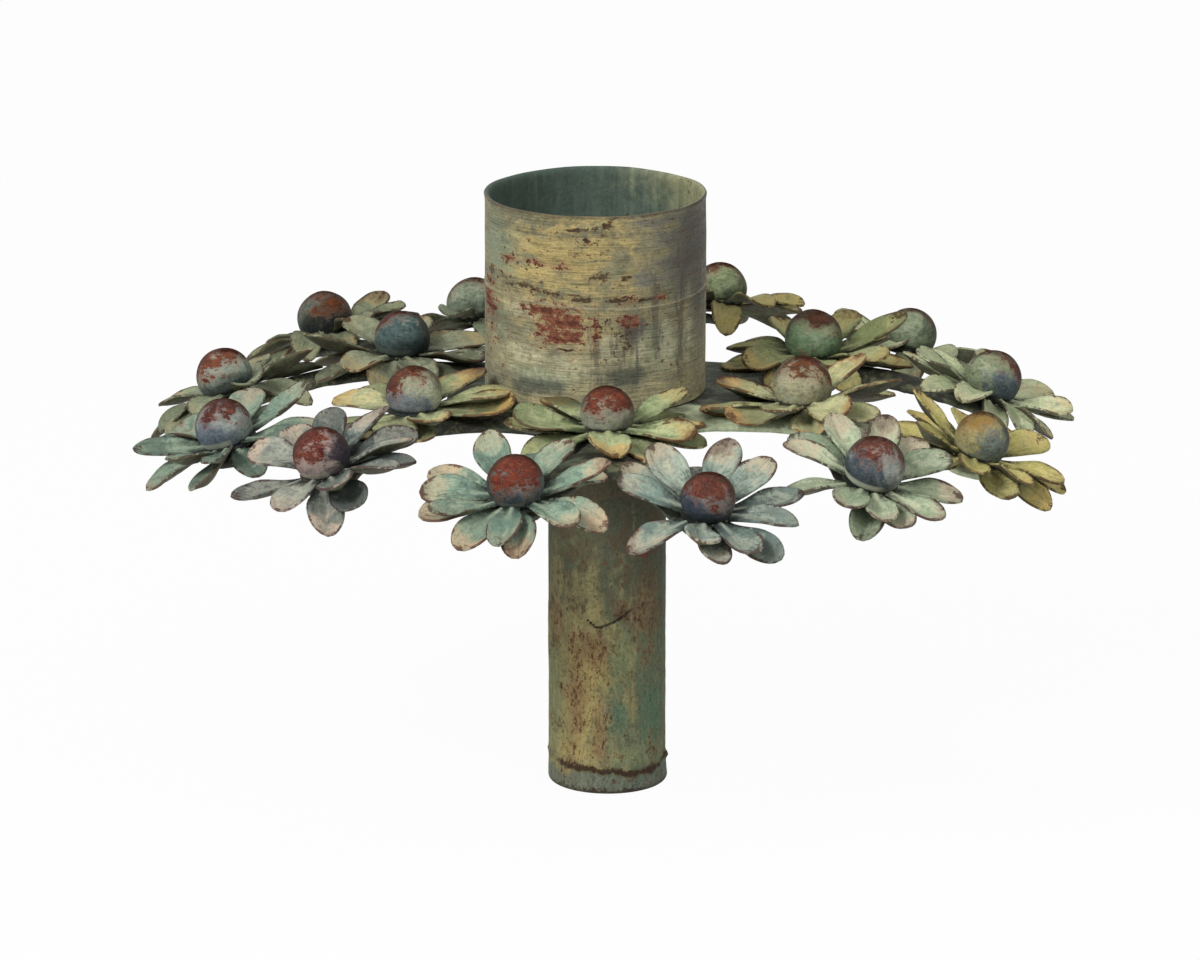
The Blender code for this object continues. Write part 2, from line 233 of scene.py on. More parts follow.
class Signal:
    """A node's output. Arithmetic on it adds Math nodes to the tree it belongs to."""

    def __init__(self, bench, socket):
        self.bench = bench
        self.socket = socket

    __add__ = arithmetic("ADD")
    __radd__ = arithmetic("ADD", reflected=True)
    __sub__ = arithmetic("SUBTRACT")
    __rsub__ = arithmetic("SUBTRACT", reflected=True)
    __mul__ = arithmetic("MULTIPLY")
    __rmul__ = arithmetic("MULTIPLY", reflected=True)

    def __abs__(self):
        return self.bench.maths("ABSOLUTE", self)

    def __neg__(self):
        return self.bench.maths("MULTIPLY", self, -1.0)


class Bench:
    """A node tree that is being wired."""

    def __init__(self, tree):
        self.tree = tree

    def node(self, kind, settings=None, sockets=None, output=0):
        """Adds a node: its settings first, then its sockets' values or links."""
        made = self.tree.nodes.new(kind)
        for name, value in (settings or {}).items():
            setattr(made, name, value)
        for key, value in (sockets or {}).items():
            self.plug(self.find(made.inputs, key), value)
        return Signal(self, self.find(made.outputs, output))

    @staticmethod
    def find(sockets, key):
        if isinstance(key, int):
            return sockets[key]
        return next(socket for socket in sockets if socket.enabled and socket.name == key)

    def plug(self, socket, value):
        if isinstance(value, Signal):
            self.tree.links.new(value.socket, socket)
        else:
            socket.default_value = value

    def maths(self, operation, *values):
        return self.node("ShaderNodeMath", {"operation": operation}, dict(enumerate(values)))

    def larger(self, first, second):
        return self.maths("MAXIMUM", first, second)

    def rise(self, value, low, high):
        """0 on the low value's side, 1 on the high value's side, and smooth in between."""
        sockets = {"Value": value, "From Min": low, "From Max": high}
        return self.node("ShaderNodeMapRange", {"interpolation_type": "SMOOTHSTEP"}, sockets, "Result")


class Finish(Bench):
    """A material, mixed in layers from its first colour up."""

    def __init__(self, name, colour=None):
        self.material = bpy.data.materials.new(name)
        self.material.use_nodes = True
        super().__init__(self.material.node_tree)
        self.shader = self.tree.nodes["Principled BSDF"]
        self.place = self.node("ShaderNodeTexCoord", output="Object")
        self.colour = colour

    def attributes(self, names):
        return [self.node("ShaderNodeAttribute", {"attribute_name": name}, output="Fac")
                for name in names.split()]

    def axis(self, number):
        """The distance along +X, +Y or +Z, by its number from 0 to 2."""
        return self.node("ShaderNodeSeparateXYZ", None, {0: self.place}, number)

    def stretched(self, vector, scale, shift=(0, 0, 0)):
        return self.node("ShaderNodeMapping", None, {"Vector": vector, "Location": shift, "Scale": scale})

    def grain(self, scale, detail, roughness, distortion=0.0, shift=(0, 0, 0), vector=None):
        """Noise a little above and below 0. A scale of three numbers stretches it."""
        vector = self.place if vector is None else vector
        if isinstance(scale, tuple):
            vector, scale = self.stretched(vector, scale, shift), 1.0
        sockets = {"Vector": vector, "Scale": scale, "Detail": detail, "Roughness": roughness,
                   "Distortion": distortion}
        return self.node("ShaderNodeTexNoise", None, sockets, 0) - 0.5

    def over(self, share, top, under):
        """The top colour laid over the one under it by its share."""
        sockets = {"Factor": share, "A": under, "B": top}
        return self.node("ShaderNodeMix", {"data_type": "RGBA"}, sockets, "Result")

    def lay(self, top, value, low, high, share=1.0):
        """Lays a colour over the paint where the value rises from low to high, by a share there."""
        risen = self.rise(value, low, high)
        self.colour = self.over(risen if share == 1.0 else risen * share, top, self.colour)

    def tone(self, strength):
        """Makes the paint lighter or darker by a strength of about 1."""
        sockets = {"Vector": self.colour, "Scale": strength}
        self.colour = self.node("ShaderNodeVectorMath", {"operation": "SCALE"}, sockets, "Vector")

    def finished(self, roughness, sheen, relief, depth):
        """The material, with one sheen all over and a relief of a depth in metres."""
        normal = self.node("ShaderNodeBump", None, {"Strength": 1.0, "Distance": depth, "Height": relief})
        sockets = {"Base Color": self.colour, "Roughness": roughness, "Specular IOR Level": sheen,
                   "Normal": normal}
        for name, value in sockets.items():
            self.plug(self.shader.inputs[name], value)
        return self.material


# Meshes

def plain_mesh(bm, name):
    mesh = bpy.data.meshes.new(name)
    bm.to_mesh(mesh)
    bm.free()
    return mesh


def smooth_mesh(bm, name):
    mesh = plain_mesh(bm, name)
    mesh.shade_smooth()
    mesh.set_sharp_from_angle(angle=SHARP_ANGLE)
    return mesh


def add_piece(name, mesh, paints):
    made = bpy.data.objects.new(name, mesh)
    bpy.context.scene.collection.objects.link(made)
    for material in paints:
        mesh.materials.append(material)
    return made


def seat_on_frame(made, slot, *nodes):
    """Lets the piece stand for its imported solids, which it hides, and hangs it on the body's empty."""
    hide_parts(*nodes)
    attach(made, BODY)


def thicken(made, sheet):
    """Gives a skin its sheet downwards from its upper face, with the second paint underneath."""
    wall = made.modifiers.new("sheet", "SOLIDIFY")
    wall.thickness = sheet
    wall.offset = -1
    wall.material_offset = 1


def add_attribute(mesh, name, values):
    layer = mesh.attributes.new(name, "FLOAT", "POINT")
    layer.data.foreach_set("value", np.asarray(values, np.float32))


def turned_skin(name, profile, sides, shape=None, marks=None, inner_rows=()):
    """A turned piece: the profile's (radius, height) points go round its section, from the axis
    back to the axis or once round a wall. A shape may dent it, and marks give its attributes."""
    bm = bmesh.new()
    rings = []
    places = []
    for row, (radius, height) in enumerate(profile):
        ring = []
        for side in range(1 if radius == 0 else sides):
            turn = math.tau * side / sides
            far, up = shape(radius, turn, height, row) if shape and radius else (radius, height)
            ring.append(bm.verts.new((far * math.cos(turn), far * math.sin(turn), up)))
            places.append((turn, height))
        rings.append(ring * sides if radius == 0 else ring)
    pairs = [(row, row + 1) for row in range(len(rings) - 1)]
    if profile[0][0] != 0:
        pairs.append((len(rings) - 1, 0))
    for low, high in pairs:
        for side in range(sides):
            after = (side + 1) % sides
            corners = (rings[low][side], rings[low][after], rings[high][after], rings[high][side])
            face = bm.faces.new(dict.fromkeys(corners))
            face.material_index = 1 if low in inner_rows else 0
    bmesh.ops.recalc_face_normals(bm, faces=bm.faces)
    mesh = smooth_mesh(bm, name)
    if marks:
        given = [marks(turn, height) for turn, height in places]
        for label in given[0]:
            add_attribute(mesh, label, [values[label] for values in given])
    return mesh


def turned_piece(node, slot, centre, paints, *skin):
    """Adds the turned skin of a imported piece, about an upright line through the centre."""
    mesh = turned_skin(f"{node}_skin", *skin)
    mesh.transform(Matrix.Translation((*centre, 0)))
    seat_on_frame(add_piece(f"{node}_skin", mesh, paints), slot, node)


Patch = namedtuple("Patch", "across up half_width half_height corner", defaults=(2,))


def patches(*rows):
    """Places on a turned piece, in millimetres: across from the middle of its front, up, half the
    width, half the height and, where it is squarer than an oval, 4."""
    return [Patch(*[part / 1000 for part in row[:4]], *row[4:]) for row in rows]


def strongest(marked, across, up):
    """1 in the middle of a patch, a half at its edge and falling away outside it."""
    best = 0.0
    for patch in marked:
        side = abs((across - patch.across) / patch.half_width) ** patch.corner
        height = abs((up - patch.up) / patch.half_height) ** patch.corner
        best = max(best, 1 / (1 + side + height))
    return best


def around_front(turn, radius):
    """Distance round a turned piece from the middle of its front, to the right on the picture."""
    return ((turn - math.radians(270) + math.pi) % math.tau - math.pi) * radius


def rough(turn, height, radius, layers_of_noise):
    """Smooth noise on a turned piece, added up from layers of (bump size, share, seed)."""
    place = Vector((radius * math.cos(turn), radius * math.sin(turn), height))
    return sum(share * noise.noise(place / size + Vector((seed, seed, seed)))
               for size, share, seed in layers_of_noise)


def patch_marks(tables, across, up):
    return {name: strongest(marked, across, up) for name, marked in tables.items()}


def spaced(low, high, count):
    return [low + (high - low) * step / count for step in range(count + 1)]


# Candle cup

CUP_LOW, CUP_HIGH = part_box("candle_cup")
CUP_CENTRE = ((CUP_LOW.x + CUP_HIGH.x) / 2, (CUP_LOW.y + CUP_HIGH.y) / 2)
CUP_LIP_RADIUS = (CUP_HIGH.x - CUP_LOW.x) / 2
CUP_RADIUS = CUP_LIP_RADIUS - CUP_LIP_FLARE

CUP_PATCHES = {
    "rust": patches(
        (-7.2, 94.3, 4.6, 4.3, 4), (-3.6, 94.2, 1.2, 4.2, 4), (-9.6, 96.6, 4, 1.8),
        (-18.7, 105.7, 3, 0.6), (-12.5, 105.9, 4.2, 0.3), (-6.3, 105.9, 1.2, 0.5), (6, 99.1, 2.2, 0.7),
        (13.2, 99.2, 1.2, 0.6), (-26.6, 95.8, 3.6, 4.2), (0.2, 93, 0.4, 3.6), (6.4, 95.3, 2.2, 1.3, 4),
        (40, 101, 6, 3), (-52, 93, 4, 6), (60, 90, 5, 1.6)),
    "soot": patches(
        (1, 104, 1.7, 0.7), (6, 103.8, 1.3, 0.6), (-25.2, 101.9, 2.2, 0.5), (-20, 101.6, 3.2, 0.4),
        (-14.5, 101.3, 3.6, 0.5), (-9.8, 100.5, 2.6, 0.4), (-6.2, 99.8, 1.4, 0.5, 4),
        (-2.7, 99.5, 2.4, 0.6, 4), (4.4, 99.2, 3.2, 0.4, 4), (10, 99, 2, 0.3), (2.6, 113.7, 0.9, 0.7),
        (1.8, 111.5, 0.9, 0.5), (-3.5, 112.6, 1.8, 0.4), (-0.5, 113, 1, 0.6), (6.8, 93.2, 1.6, 0.5),
        (5.8, 90.3, 1, 1), (-5, 89.9, 3.2, 0.3), (33, 97, 6, 0.5), (-45, 105, 6, 0.5)),
    "slate": patches(
        (24.5, 107, 12, 14), (22.5, 112, 7, 6), (25, 96, 6, 14), (7.5, 94.5, 2.8, 2.6)),
    "shade": patches(
        (5, 84.3, 5.4, 2.4), (-13, 82, 6.6, 1.8)),
    "teal": patches(
        (-20.5, 92.2, 4, 3.8), (-23.5, 108, 7, 7), (-11, 84.2, 9, 2.4), (14, 90, 7, 6), (50, 88, 14, 6),
        (-48, 106, 12, 6)),
    "specks": patches(
        (-1, 112.2, 5, 2.2), (-15, 104.5, 8, 2.2), (4, 94.5, 6, 5), (-38, 98, 10, 10)),
    "smudge": patches(
        (0.2, 91.5, 0.9, 6), (6.8, 92.5, 2.2, 4), (5.6, 89.2, 0.8, 2.6), (12, 96, 1, 7),
        (18, 94, 1.4, 9), (43, 95, 3, 10), (-33, 90, 2, 7)),
    "pale": patches(
        (-15, 96.5, 4, 1.6), (-12.5, 88, 9, 2.2), (-4.5, 85.8, 6, 2), (2.2, 89.5, 2.6, 3.4),
        (8.5, 89.3, 1.8, 2), (15, 90, 1.6, 5), (21, 90.5, 1.6, 6), (56, 104, 14, 8), (-52, 85, 12, 5)),
    "gold": patches(
        (-7, 108.5, 9, 4.5), (-12, 103.5, 7, 1.6), (45, 96, 10, 6)),
}


def cup_marks(turn, height):
    seam = math.exp(-((height - cup_seam(turn)) / CUP_SEAM_WIDTH) ** 2)
    return patch_marks(CUP_PATCHES, around_front(turn, CUP_RADIUS), height) | {"seam": seam}


def cup_seam(turn):
    """Height of the faint ring where the cup's sheet is joined."""
    return CUP_SEAM_HEIGHT + CUP_SEAM_WAVE * math.sin(2 * turn + CUP_SEAM_PHASE)


def cup_shape(radius, turn, height, row):
    """The rolled sheet isn't quite round, and its lip isn't quite level."""
    dent = CUP_DENT * rough(turn, height, CUP_RADIUS, CUP_BUMPS)
    ridge = 0.0
    if radius > CUP_RADIUS - CUP_WALL / 2:
        ridge = CUP_SEAM_RIDGE * math.exp(-((height - cup_seam(turn)) / CUP_SEAM_WIDTH) ** 2)
    near_lip = max(0.0, (height - CUP_HIGH.z + CUP_LIP_HEIGHT) / CUP_LIP_HEIGHT)
    dip = CUP_LIP_DIP * (0.5 + rough(turn, 0.0, CUP_RADIUS, CUP_LIP_WAVES)) * near_lip
    flare = CUP_LIP_FLARE * near_lip ** 2
    return radius + dent + ridge + flare - CUP_DENT, height - max(0.0, dip)


def cup_profile():
    """Up the outside, over the rounded lip and down the inside."""
    rows = spaced(CUP_LOW.z, CUP_HIGH.z - CUP_WALL / 2, CUP_ROWS)
    steps = range(-CUP_SEAM_ROWS, CUP_SEAM_ROWS + 1)
    rows += [CUP_SEAM_HEIGHT + CUP_SEAM_WIDTH * step / 2 for step in steps]
    rows = sorted(set(rows))
    outside = [(CUP_RADIUS, height) for height in rows]
    lip = []
    for step in range(1, CUP_LIP_STEPS):
        turn = math.pi * step / CUP_LIP_STEPS
        lip.append((CUP_RADIUS - CUP_WALL / 2 + CUP_WALL / 2 * math.cos(turn),
                    CUP_HIGH.z - CUP_WALL / 2 + CUP_WALL / 2 * math.sin(turn)))
    inside = [(CUP_RADIUS - CUP_WALL, height) for height in reversed(spaced(CUP_LOW.z, rows[-1], CUP_ROWS))]
    return outside + lip + inside, range(len(outside) + 2, len(outside) + len(lip) + len(inside) - 1)


def make_cup():
    profile, inner_rows = cup_profile()
    turned_piece("candle_cup", "cup_patina", CUP_CENTRE, [cup_outside_paint(), cup_inside_paint()],
                 profile, CUP_SIDES, cup_shape, cup_marks, inner_rows)


def make_cup_floor():
    """A disc with a bevelled edge, a little dished by the heat of its welding."""
    low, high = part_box("cup_floor")
    radius = (high.x - low.x) / 2
    edge = (high.z - low.z) / 3
    top = [(radius * share, high.z - CUP_FLOOR_DISH * (1 - share ** 2)) for share in CUP_FLOOR_RINGS]
    profile = top + [(radius - edge, high.z), (radius, high.z - edge), (radius, low.z), (0, low.z)]
    paints = [cup_inside_paint("cup_floor_paint")]
    turned_piece("cup_floor", "cup_patina", CUP_CENTRE, paints, profile, CUP_SIDES)


# Stem

STEM_LOW, STEM_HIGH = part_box("stem_tube")
STEM_RADIUS = (STEM_HIGH.y - STEM_LOW.y) / 2

STEM_PATCHES = {
    "brown": patches(
        (-3, 28.2, 5.2, 4), (-6, 20, 2.4, 10), (-1.4, 12, 2.2, 6), (8.6, 38, 4.4, 9), (-12, 34, 3, 4),
        (3, 37, 1.6, 2), (26, 35, 4, 12), (-24, 28, 3, 15)),
    "sage": patches(
        (-12.8, 18, 3.4, 15), (6, 7.5, 5, 2.2), (3, 27, 3, 6), (25, 15, 5, 8)),
    "red": patches(
        (6.8, 47.2, 3.2, 1.1), (-6.8, 30.5, 0.6, 1), (30, 45, 4, 1.6)),
    "teal": patches(
        (9.6, 15, 3.6, 7.5), (-7.8, 45, 2.6, 1.8), (3, 16, 2.6, 4), (33, 22, 8, 14)),
    "ochre": patches(
        (-6.8, 8.2, 3.6, 2), (-5, 16, 3.4, 9), (-4, 25, 5, 5), (-30, 15, 5, 10)),
}
CRACK = ((-0.0039, 0.0345), (-0.0026, 0.0334), (-0.0013, 0.0331), (-0.0004, 0.0335),
         (0.0015, 0.0343), (0.0030, 0.0353), (0.0047, 0.0364))


def crack_share(across, up):
    """1 in the middle of the crack in the stem's paint and 0 a little beside it."""
    place = Vector((across, up))
    nearest = 1.0
    for start, end in zip(CRACK, CRACK[1:]):
        share = geometry.intersect_point_line(place, Vector(start), Vector(end))[1]
        share = min(1.0, max(0.0, share))
        nearest = min(nearest, (place - Vector(start).lerp(Vector(end), share)).length)
    return math.exp(-(nearest / CRACK_WIDTH) ** 2)


def weld_line(turn):
    """Height of the weld that closes the stem: it dips at the front and curls up at the right."""
    across = around_front(turn, 1.0)
    curl = WELD_CURL * math.exp(-((across - WELD_CURL_AT) / WELD_CURL_WIDTH) ** 2)
    wander = WELD_WANDER * rough(turn, 0.0, STEM_RADIUS, WELD_WAVES)
    return WELD_HEIGHT - WELD_SLOPE * math.sin(across) + curl + wander


def weld_share(turn, height):
    """1 along the weld's ridge, which is thick and thin by turns and worn away on the left."""
    across = around_front(turn, 1.0)
    width = WELD_WIDTH * (1.0 + rough(turn, 0.0, STEM_RADIUS, WELD_SWELLS))
    worn = 1 - WELD_WORN * math.exp(-((across - WELD_WORN_AT) / WELD_WORN_WIDTH) ** 2)
    return worn * math.exp(-((height - weld_line(turn)) / width) ** 2)


def stem_shape(radius, turn, height, row):
    dent = STEM_DENT * rough(turn, height, STEM_RADIUS, STEM_BUMPS)
    lumps = max(WELD_THINNEST, WELD_FILL + rough(turn, height, STEM_RADIUS, WELD_LUMPS))
    weld = WELD_RIDGE * weld_share(turn, height) * lumps
    to_right = 1 - CAP_BULGE_SIDE + CAP_BULGE_SIDE * math.sin(around_front(turn, 1.0))
    bulge = CAP_BULGE * max(0.0, 1 - height / WELD_HEIGHT) * to_right
    crack = CRACK_DEPTH * crack_share(around_front(turn, STEM_RADIUS), height)
    return radius + dent + weld + bulge - crack, height


def stem_marks(turn, height):
    across = around_front(turn, STEM_RADIUS)
    lines = {"crack": crack_share(across, height), "weld": weld_share(turn, height)}
    return patch_marks(STEM_PATCHES, across, height) | lines


def make_stem():
    """The tube and its end cap, with the uneven weld that joins them."""
    inner = STEM_RADIUS - STEM_WALL
    fine = spaced(STEM_LOW.z, WELD_HEIGHT * 2, STEM_WELD_ROWS)
    rows = fine + spaced(WELD_HEIGHT * 2, STEM_HIGH.z, STEM_ROWS)[1:]
    profile = [(STEM_RADIUS, height) for height in rows] + [(inner, STEM_HIGH.z), (inner, STEM_LOW.z)]

    def shape(radius, turn, height, row):
        return stem_shape(radius, turn, height, row) if row < len(rows) else (radius, height)

    paints = [stem_paint()]
    turned_piece("stem_tube", "stem_patina", (0, 0), paints, profile, STEM_SIDES, shape, stem_marks)
    edge = []
    for step in range(CAP_CORNER_STEPS + 1):
        turn = math.radians(90) * step / CAP_CORNER_STEPS
        edge.append((STEM_RADIUS - CAP_CORNER * (1 - math.sin(turn)), CAP_CORNER * (1 - math.cos(turn))))
    side = [(STEM_RADIUS, height) for height in spaced(CAP_CORNER, STEM_LOW.z, CAP_ROWS)[1:]]
    flat = [(STEM_RADIUS * far, CAP_DISH * depth) for far, depth in CAP_DISH_RINGS]
    profile = flat + edge + side + [(0, STEM_LOW.z)]
    turned_piece("stem_end_cap", "stem_patina", (0, 0), paints,
                 profile, STEM_SIDES, stem_shape, stem_marks)


# Wreath frame

def sheet_outlines():
    """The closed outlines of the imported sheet's upper face, the widest first, and its surface."""
    bm = bmesh.new()
    bm.from_mesh(NODES["wreath_frame"].data)
    bmesh.ops.remove_doubles(bm, verts=bm.verts, dist=MERGE_DISTANCE)
    bm.normal_update()
    upper = {face for face in bm.faces if face.normal.z > 0.5}
    bounding = [edge for edge in bm.edges if sum(face in upper for face in edge.link_faces) == 1]
    after = {}
    for edge in bounding:
        for loop in edge.link_loops:
            if loop.face in upper:
                after[loop.vert] = loop.link_loop_next.vert
    outlines = []
    while after:
        start, here = after.popitem()
        outline = [start.co.xy]
        while here != start:
            outline.append(here.co.xy)
            here = after.pop(here)
        outlines.append([point.copy() for point in outline])
    surface = BVHTree.FromPolygons([vert.co.copy() for vert in bm.verts],
                                   [[vert.index for vert in face.verts] for face in bm.faces])
    bm.free()
    return sorted(outlines, key=lambda line: -max(point.length for point in line)), surface


def softened(outline, times):
    """Cuts the corners of a closed outline, so that it runs in curves."""
    for _ in range(times):
        cut = []
        for here, after in zip(outline, outline[1:] + outline[:1]):
            cut += [here.lerp(after, 0.25), here.lerp(after, 0.75)]
        outline = cut
    return outline


def evenly(outline, step):
    """Points at even steps along a closed outline."""
    points = []
    for here, after in zip(outline, outline[1:] + outline[:1]):
        count = max(1, round((after - here).length / step))
        points += [here.lerp(after, part / count) for part in range(count)]
    return points


def inside(point, outline):
    crossings = 0
    for here, after in zip(outline, outline[1:] + outline[:1]):
        if (here.y > point.y) != (after.y > point.y):
            crossings += point.x < here.x + (point.y - here.y) / (after.y - here.y) * (after.x - here.x)
    return crossings % 2 == 1


def make_frame():
    """The bent sheet, with curved outlines and with edges that roll down a little. Its upper
    skin is handed back, for the petals to rest on."""
    outlines, surface = sheet_outlines()
    outline = evenly(softened(outlines[0], FRAME_CORNER_CUTS), FRAME_EDGE_STEP)
    edge = KDTree(len(outline))
    for index, point in enumerate(outline):
        edge.insert(point.to_3d(), index)
    edge.balance()
    points = list(outline)
    reach = max(point.length for point in outline)
    steps = int(reach / FRAME_GRID)
    for column in range(-steps, steps + 1):
        for row in range(-steps, steps + 1):
            point = Vector(((column + 0.5 * (row % 2)) * FRAME_GRID, row * FRAME_ROW))
            if edge.find(point.to_3d())[2] > FRAME_GRID * 0.5 and inside(point, outline):
                points.append(point)
    found = geometry.delaunay_2d_cdt(points, [], [list(range(len(outline)))], 1, 0.000001)
    bm = bmesh.new()
    verts = []
    for point in found[0]:
        hit = surface.ray_cast(point.to_3d() + Vector((0, 0, 1)), Vector((0, 0, -1)))[0]
        if hit is None:
            hit = surface.find_nearest(point.to_3d() + Vector((0, 0, STEM_HIGH.z)))[0]
        verts.append(bm.verts.new((point.x, point.y, hit.z)))
    for corners in found[2]:
        bm.faces.new([verts[corner] for corner in corners])
    for face in bm.faces:
        face.normal_update()
        if face.normal.z < 0:
            face.normal_flip()
    for _ in range(FRAME_SMOOTHING):
        bmesh.ops.smooth_vert(bm, verts=bm.verts, factor=0.5, use_axis_z=True)
    for vert in bm.verts:
        depth = edge.find(Vector((vert.co.x, vert.co.y, 0)))[2]
        roll = max(0.0, 1 - depth / FRAME_EDGE_WIDTH)
        buckle = noise.noise(Vector((vert.co.x, vert.co.y, 0)) / FRAME_BUCKLE_SIZE)
        vert.co.z += FRAME_BUCKLE * buckle - FRAME_EDGE_DROP * roll ** 2
    holed = [face for face in bm.faces if face.calc_center_median().xy.length < HOLE_RADIUS]
    bmesh.ops.delete(bm, geom=holed, context="FACES")
    top = BVHTree.FromBMesh(bm)
    mesh = smooth_mesh(bm, "wreath_frame_skin")
    paints = [frame_paint("frame_dark_green", 0.95), frame_paint("frame_underside", 0.0)]
    sheet = add_piece("wreath_frame_skin", mesh, paints)
    thicken(sheet, FRAME_SHEET)
    seat_on_frame(sheet, "frame_patina", "wreath_frame")
    return top


# Flowers

# Petals' directions in degrees where the photograph shows them plainly, upper and lower by turns
PETAL_DIRECTIONS = {
    "inner_flower_2": (22, 50, 76, 100, 125, 150, 173, 206, 222, 248, 274, 300, 318, 335),
    "inner_flower_6": (10, 30, 46, 60, 76, 138, 146, 166, 189, 215, 243, 270, 300, 330),
    "inner_flower_1": (2, 34, 58, 74, 89, 104, 119, 136, 225, 240, 256, 271, 287, 307),
    "outer_flower_1a": (3, 14, 50, 78, 107, 130, 158, 186, 215, 252, 278, 297, 315, 334),
    "outer_flower_1b": (18, 33, 62, 95, 121, 133, 155, 180, 203, 227, 250, 296, 339, 353),
    "outer_flower_2a": (7, 55, 84, 109, 131, 145, 168, 193, 220, 259, 300, 320, 330, 344),
    "outer_flower_2b": (0, 26, 60, 90, 123, 150, 174, 199, 233, 255, 285, 313, 328, 345),
    "outer_flower_6a": (38, 54, 66, 90, 121, 151, 180, 212, 235, 260, 289, 310, 336, 358),
    "outer_flower_6b": (14, 41, 56, 65, 94, 115, 130, 155, 180, 206, 218, 245, 280, 330),
}
PLACED_YAW = 0.03
FLOWER_SAG = {"inner_flower_2": 0.25, "inner_flower_6": 0.05}
FLOWER_RISE = {"outer_flower_1a": math.radians(6), "inner_flower_2": math.radians(6),
               "inner_flower_6": math.radians(-12)}

# Petal paints: ground, pale, shade, tip and worn edge
PETAL_PAINTS = {
    "inner_flower_1": "A3B082 BFC496 626E48 BE9E60 5A3420",
    "inner_flower_2": "B9BB86 D4D2A6 767852 B8925C 663C26",
    "inner_flower_3": "8F9966 B2B280 555D3B AA9760 54391F",
    "inner_flower_4": "848C5E A6A67C 545A3A 9A8650 54391F",
    "inner_flower_5": "8D9377 B3B698 535944 A8966A 5E412C",
    "inner_flower_6": "A8AE82 C8C69A 666E4C C4A05E 623E28",
    "outer_flower_1a": "829A86 B0BEA2 42544E BEA686 5E3428",
    "outer_flower_1b": "869A8E B8BFAC 465350 B8AA90 543630",
    "outer_flower_2a": "A2B290 C3C8AA 667660 B8A890 543C32",
    "outer_flower_2b": "BAB26A D0C68A 7E7A4A BEA664 523A26",
    "outer_flower_3a": "B6C096 D2D6B2 7C8666 C2B286 4E3A2C",
    "outer_flower_3b": "ACB58C C8CCA8 717B5A B5A87E 4E3A2C",
    "outer_flower_4a": "968D58 B0A470 545230 AA9552 463220",
    "outer_flower_4b": "8E9B7A ACB494 535B48 9C946A 4A3628",
    "outer_flower_5a": "747C60 9CA282 434838 94865F 543828",
    "outer_flower_5b": "889174 AAB192 4E5442 AC9D76 543C2E",
    "outer_flower_6a": "788E7C A4B49A 42524A A29480 563C32",
    "outer_flower_6b": "707B72 AAAC9C 32383A BCA894 4E3436",
}
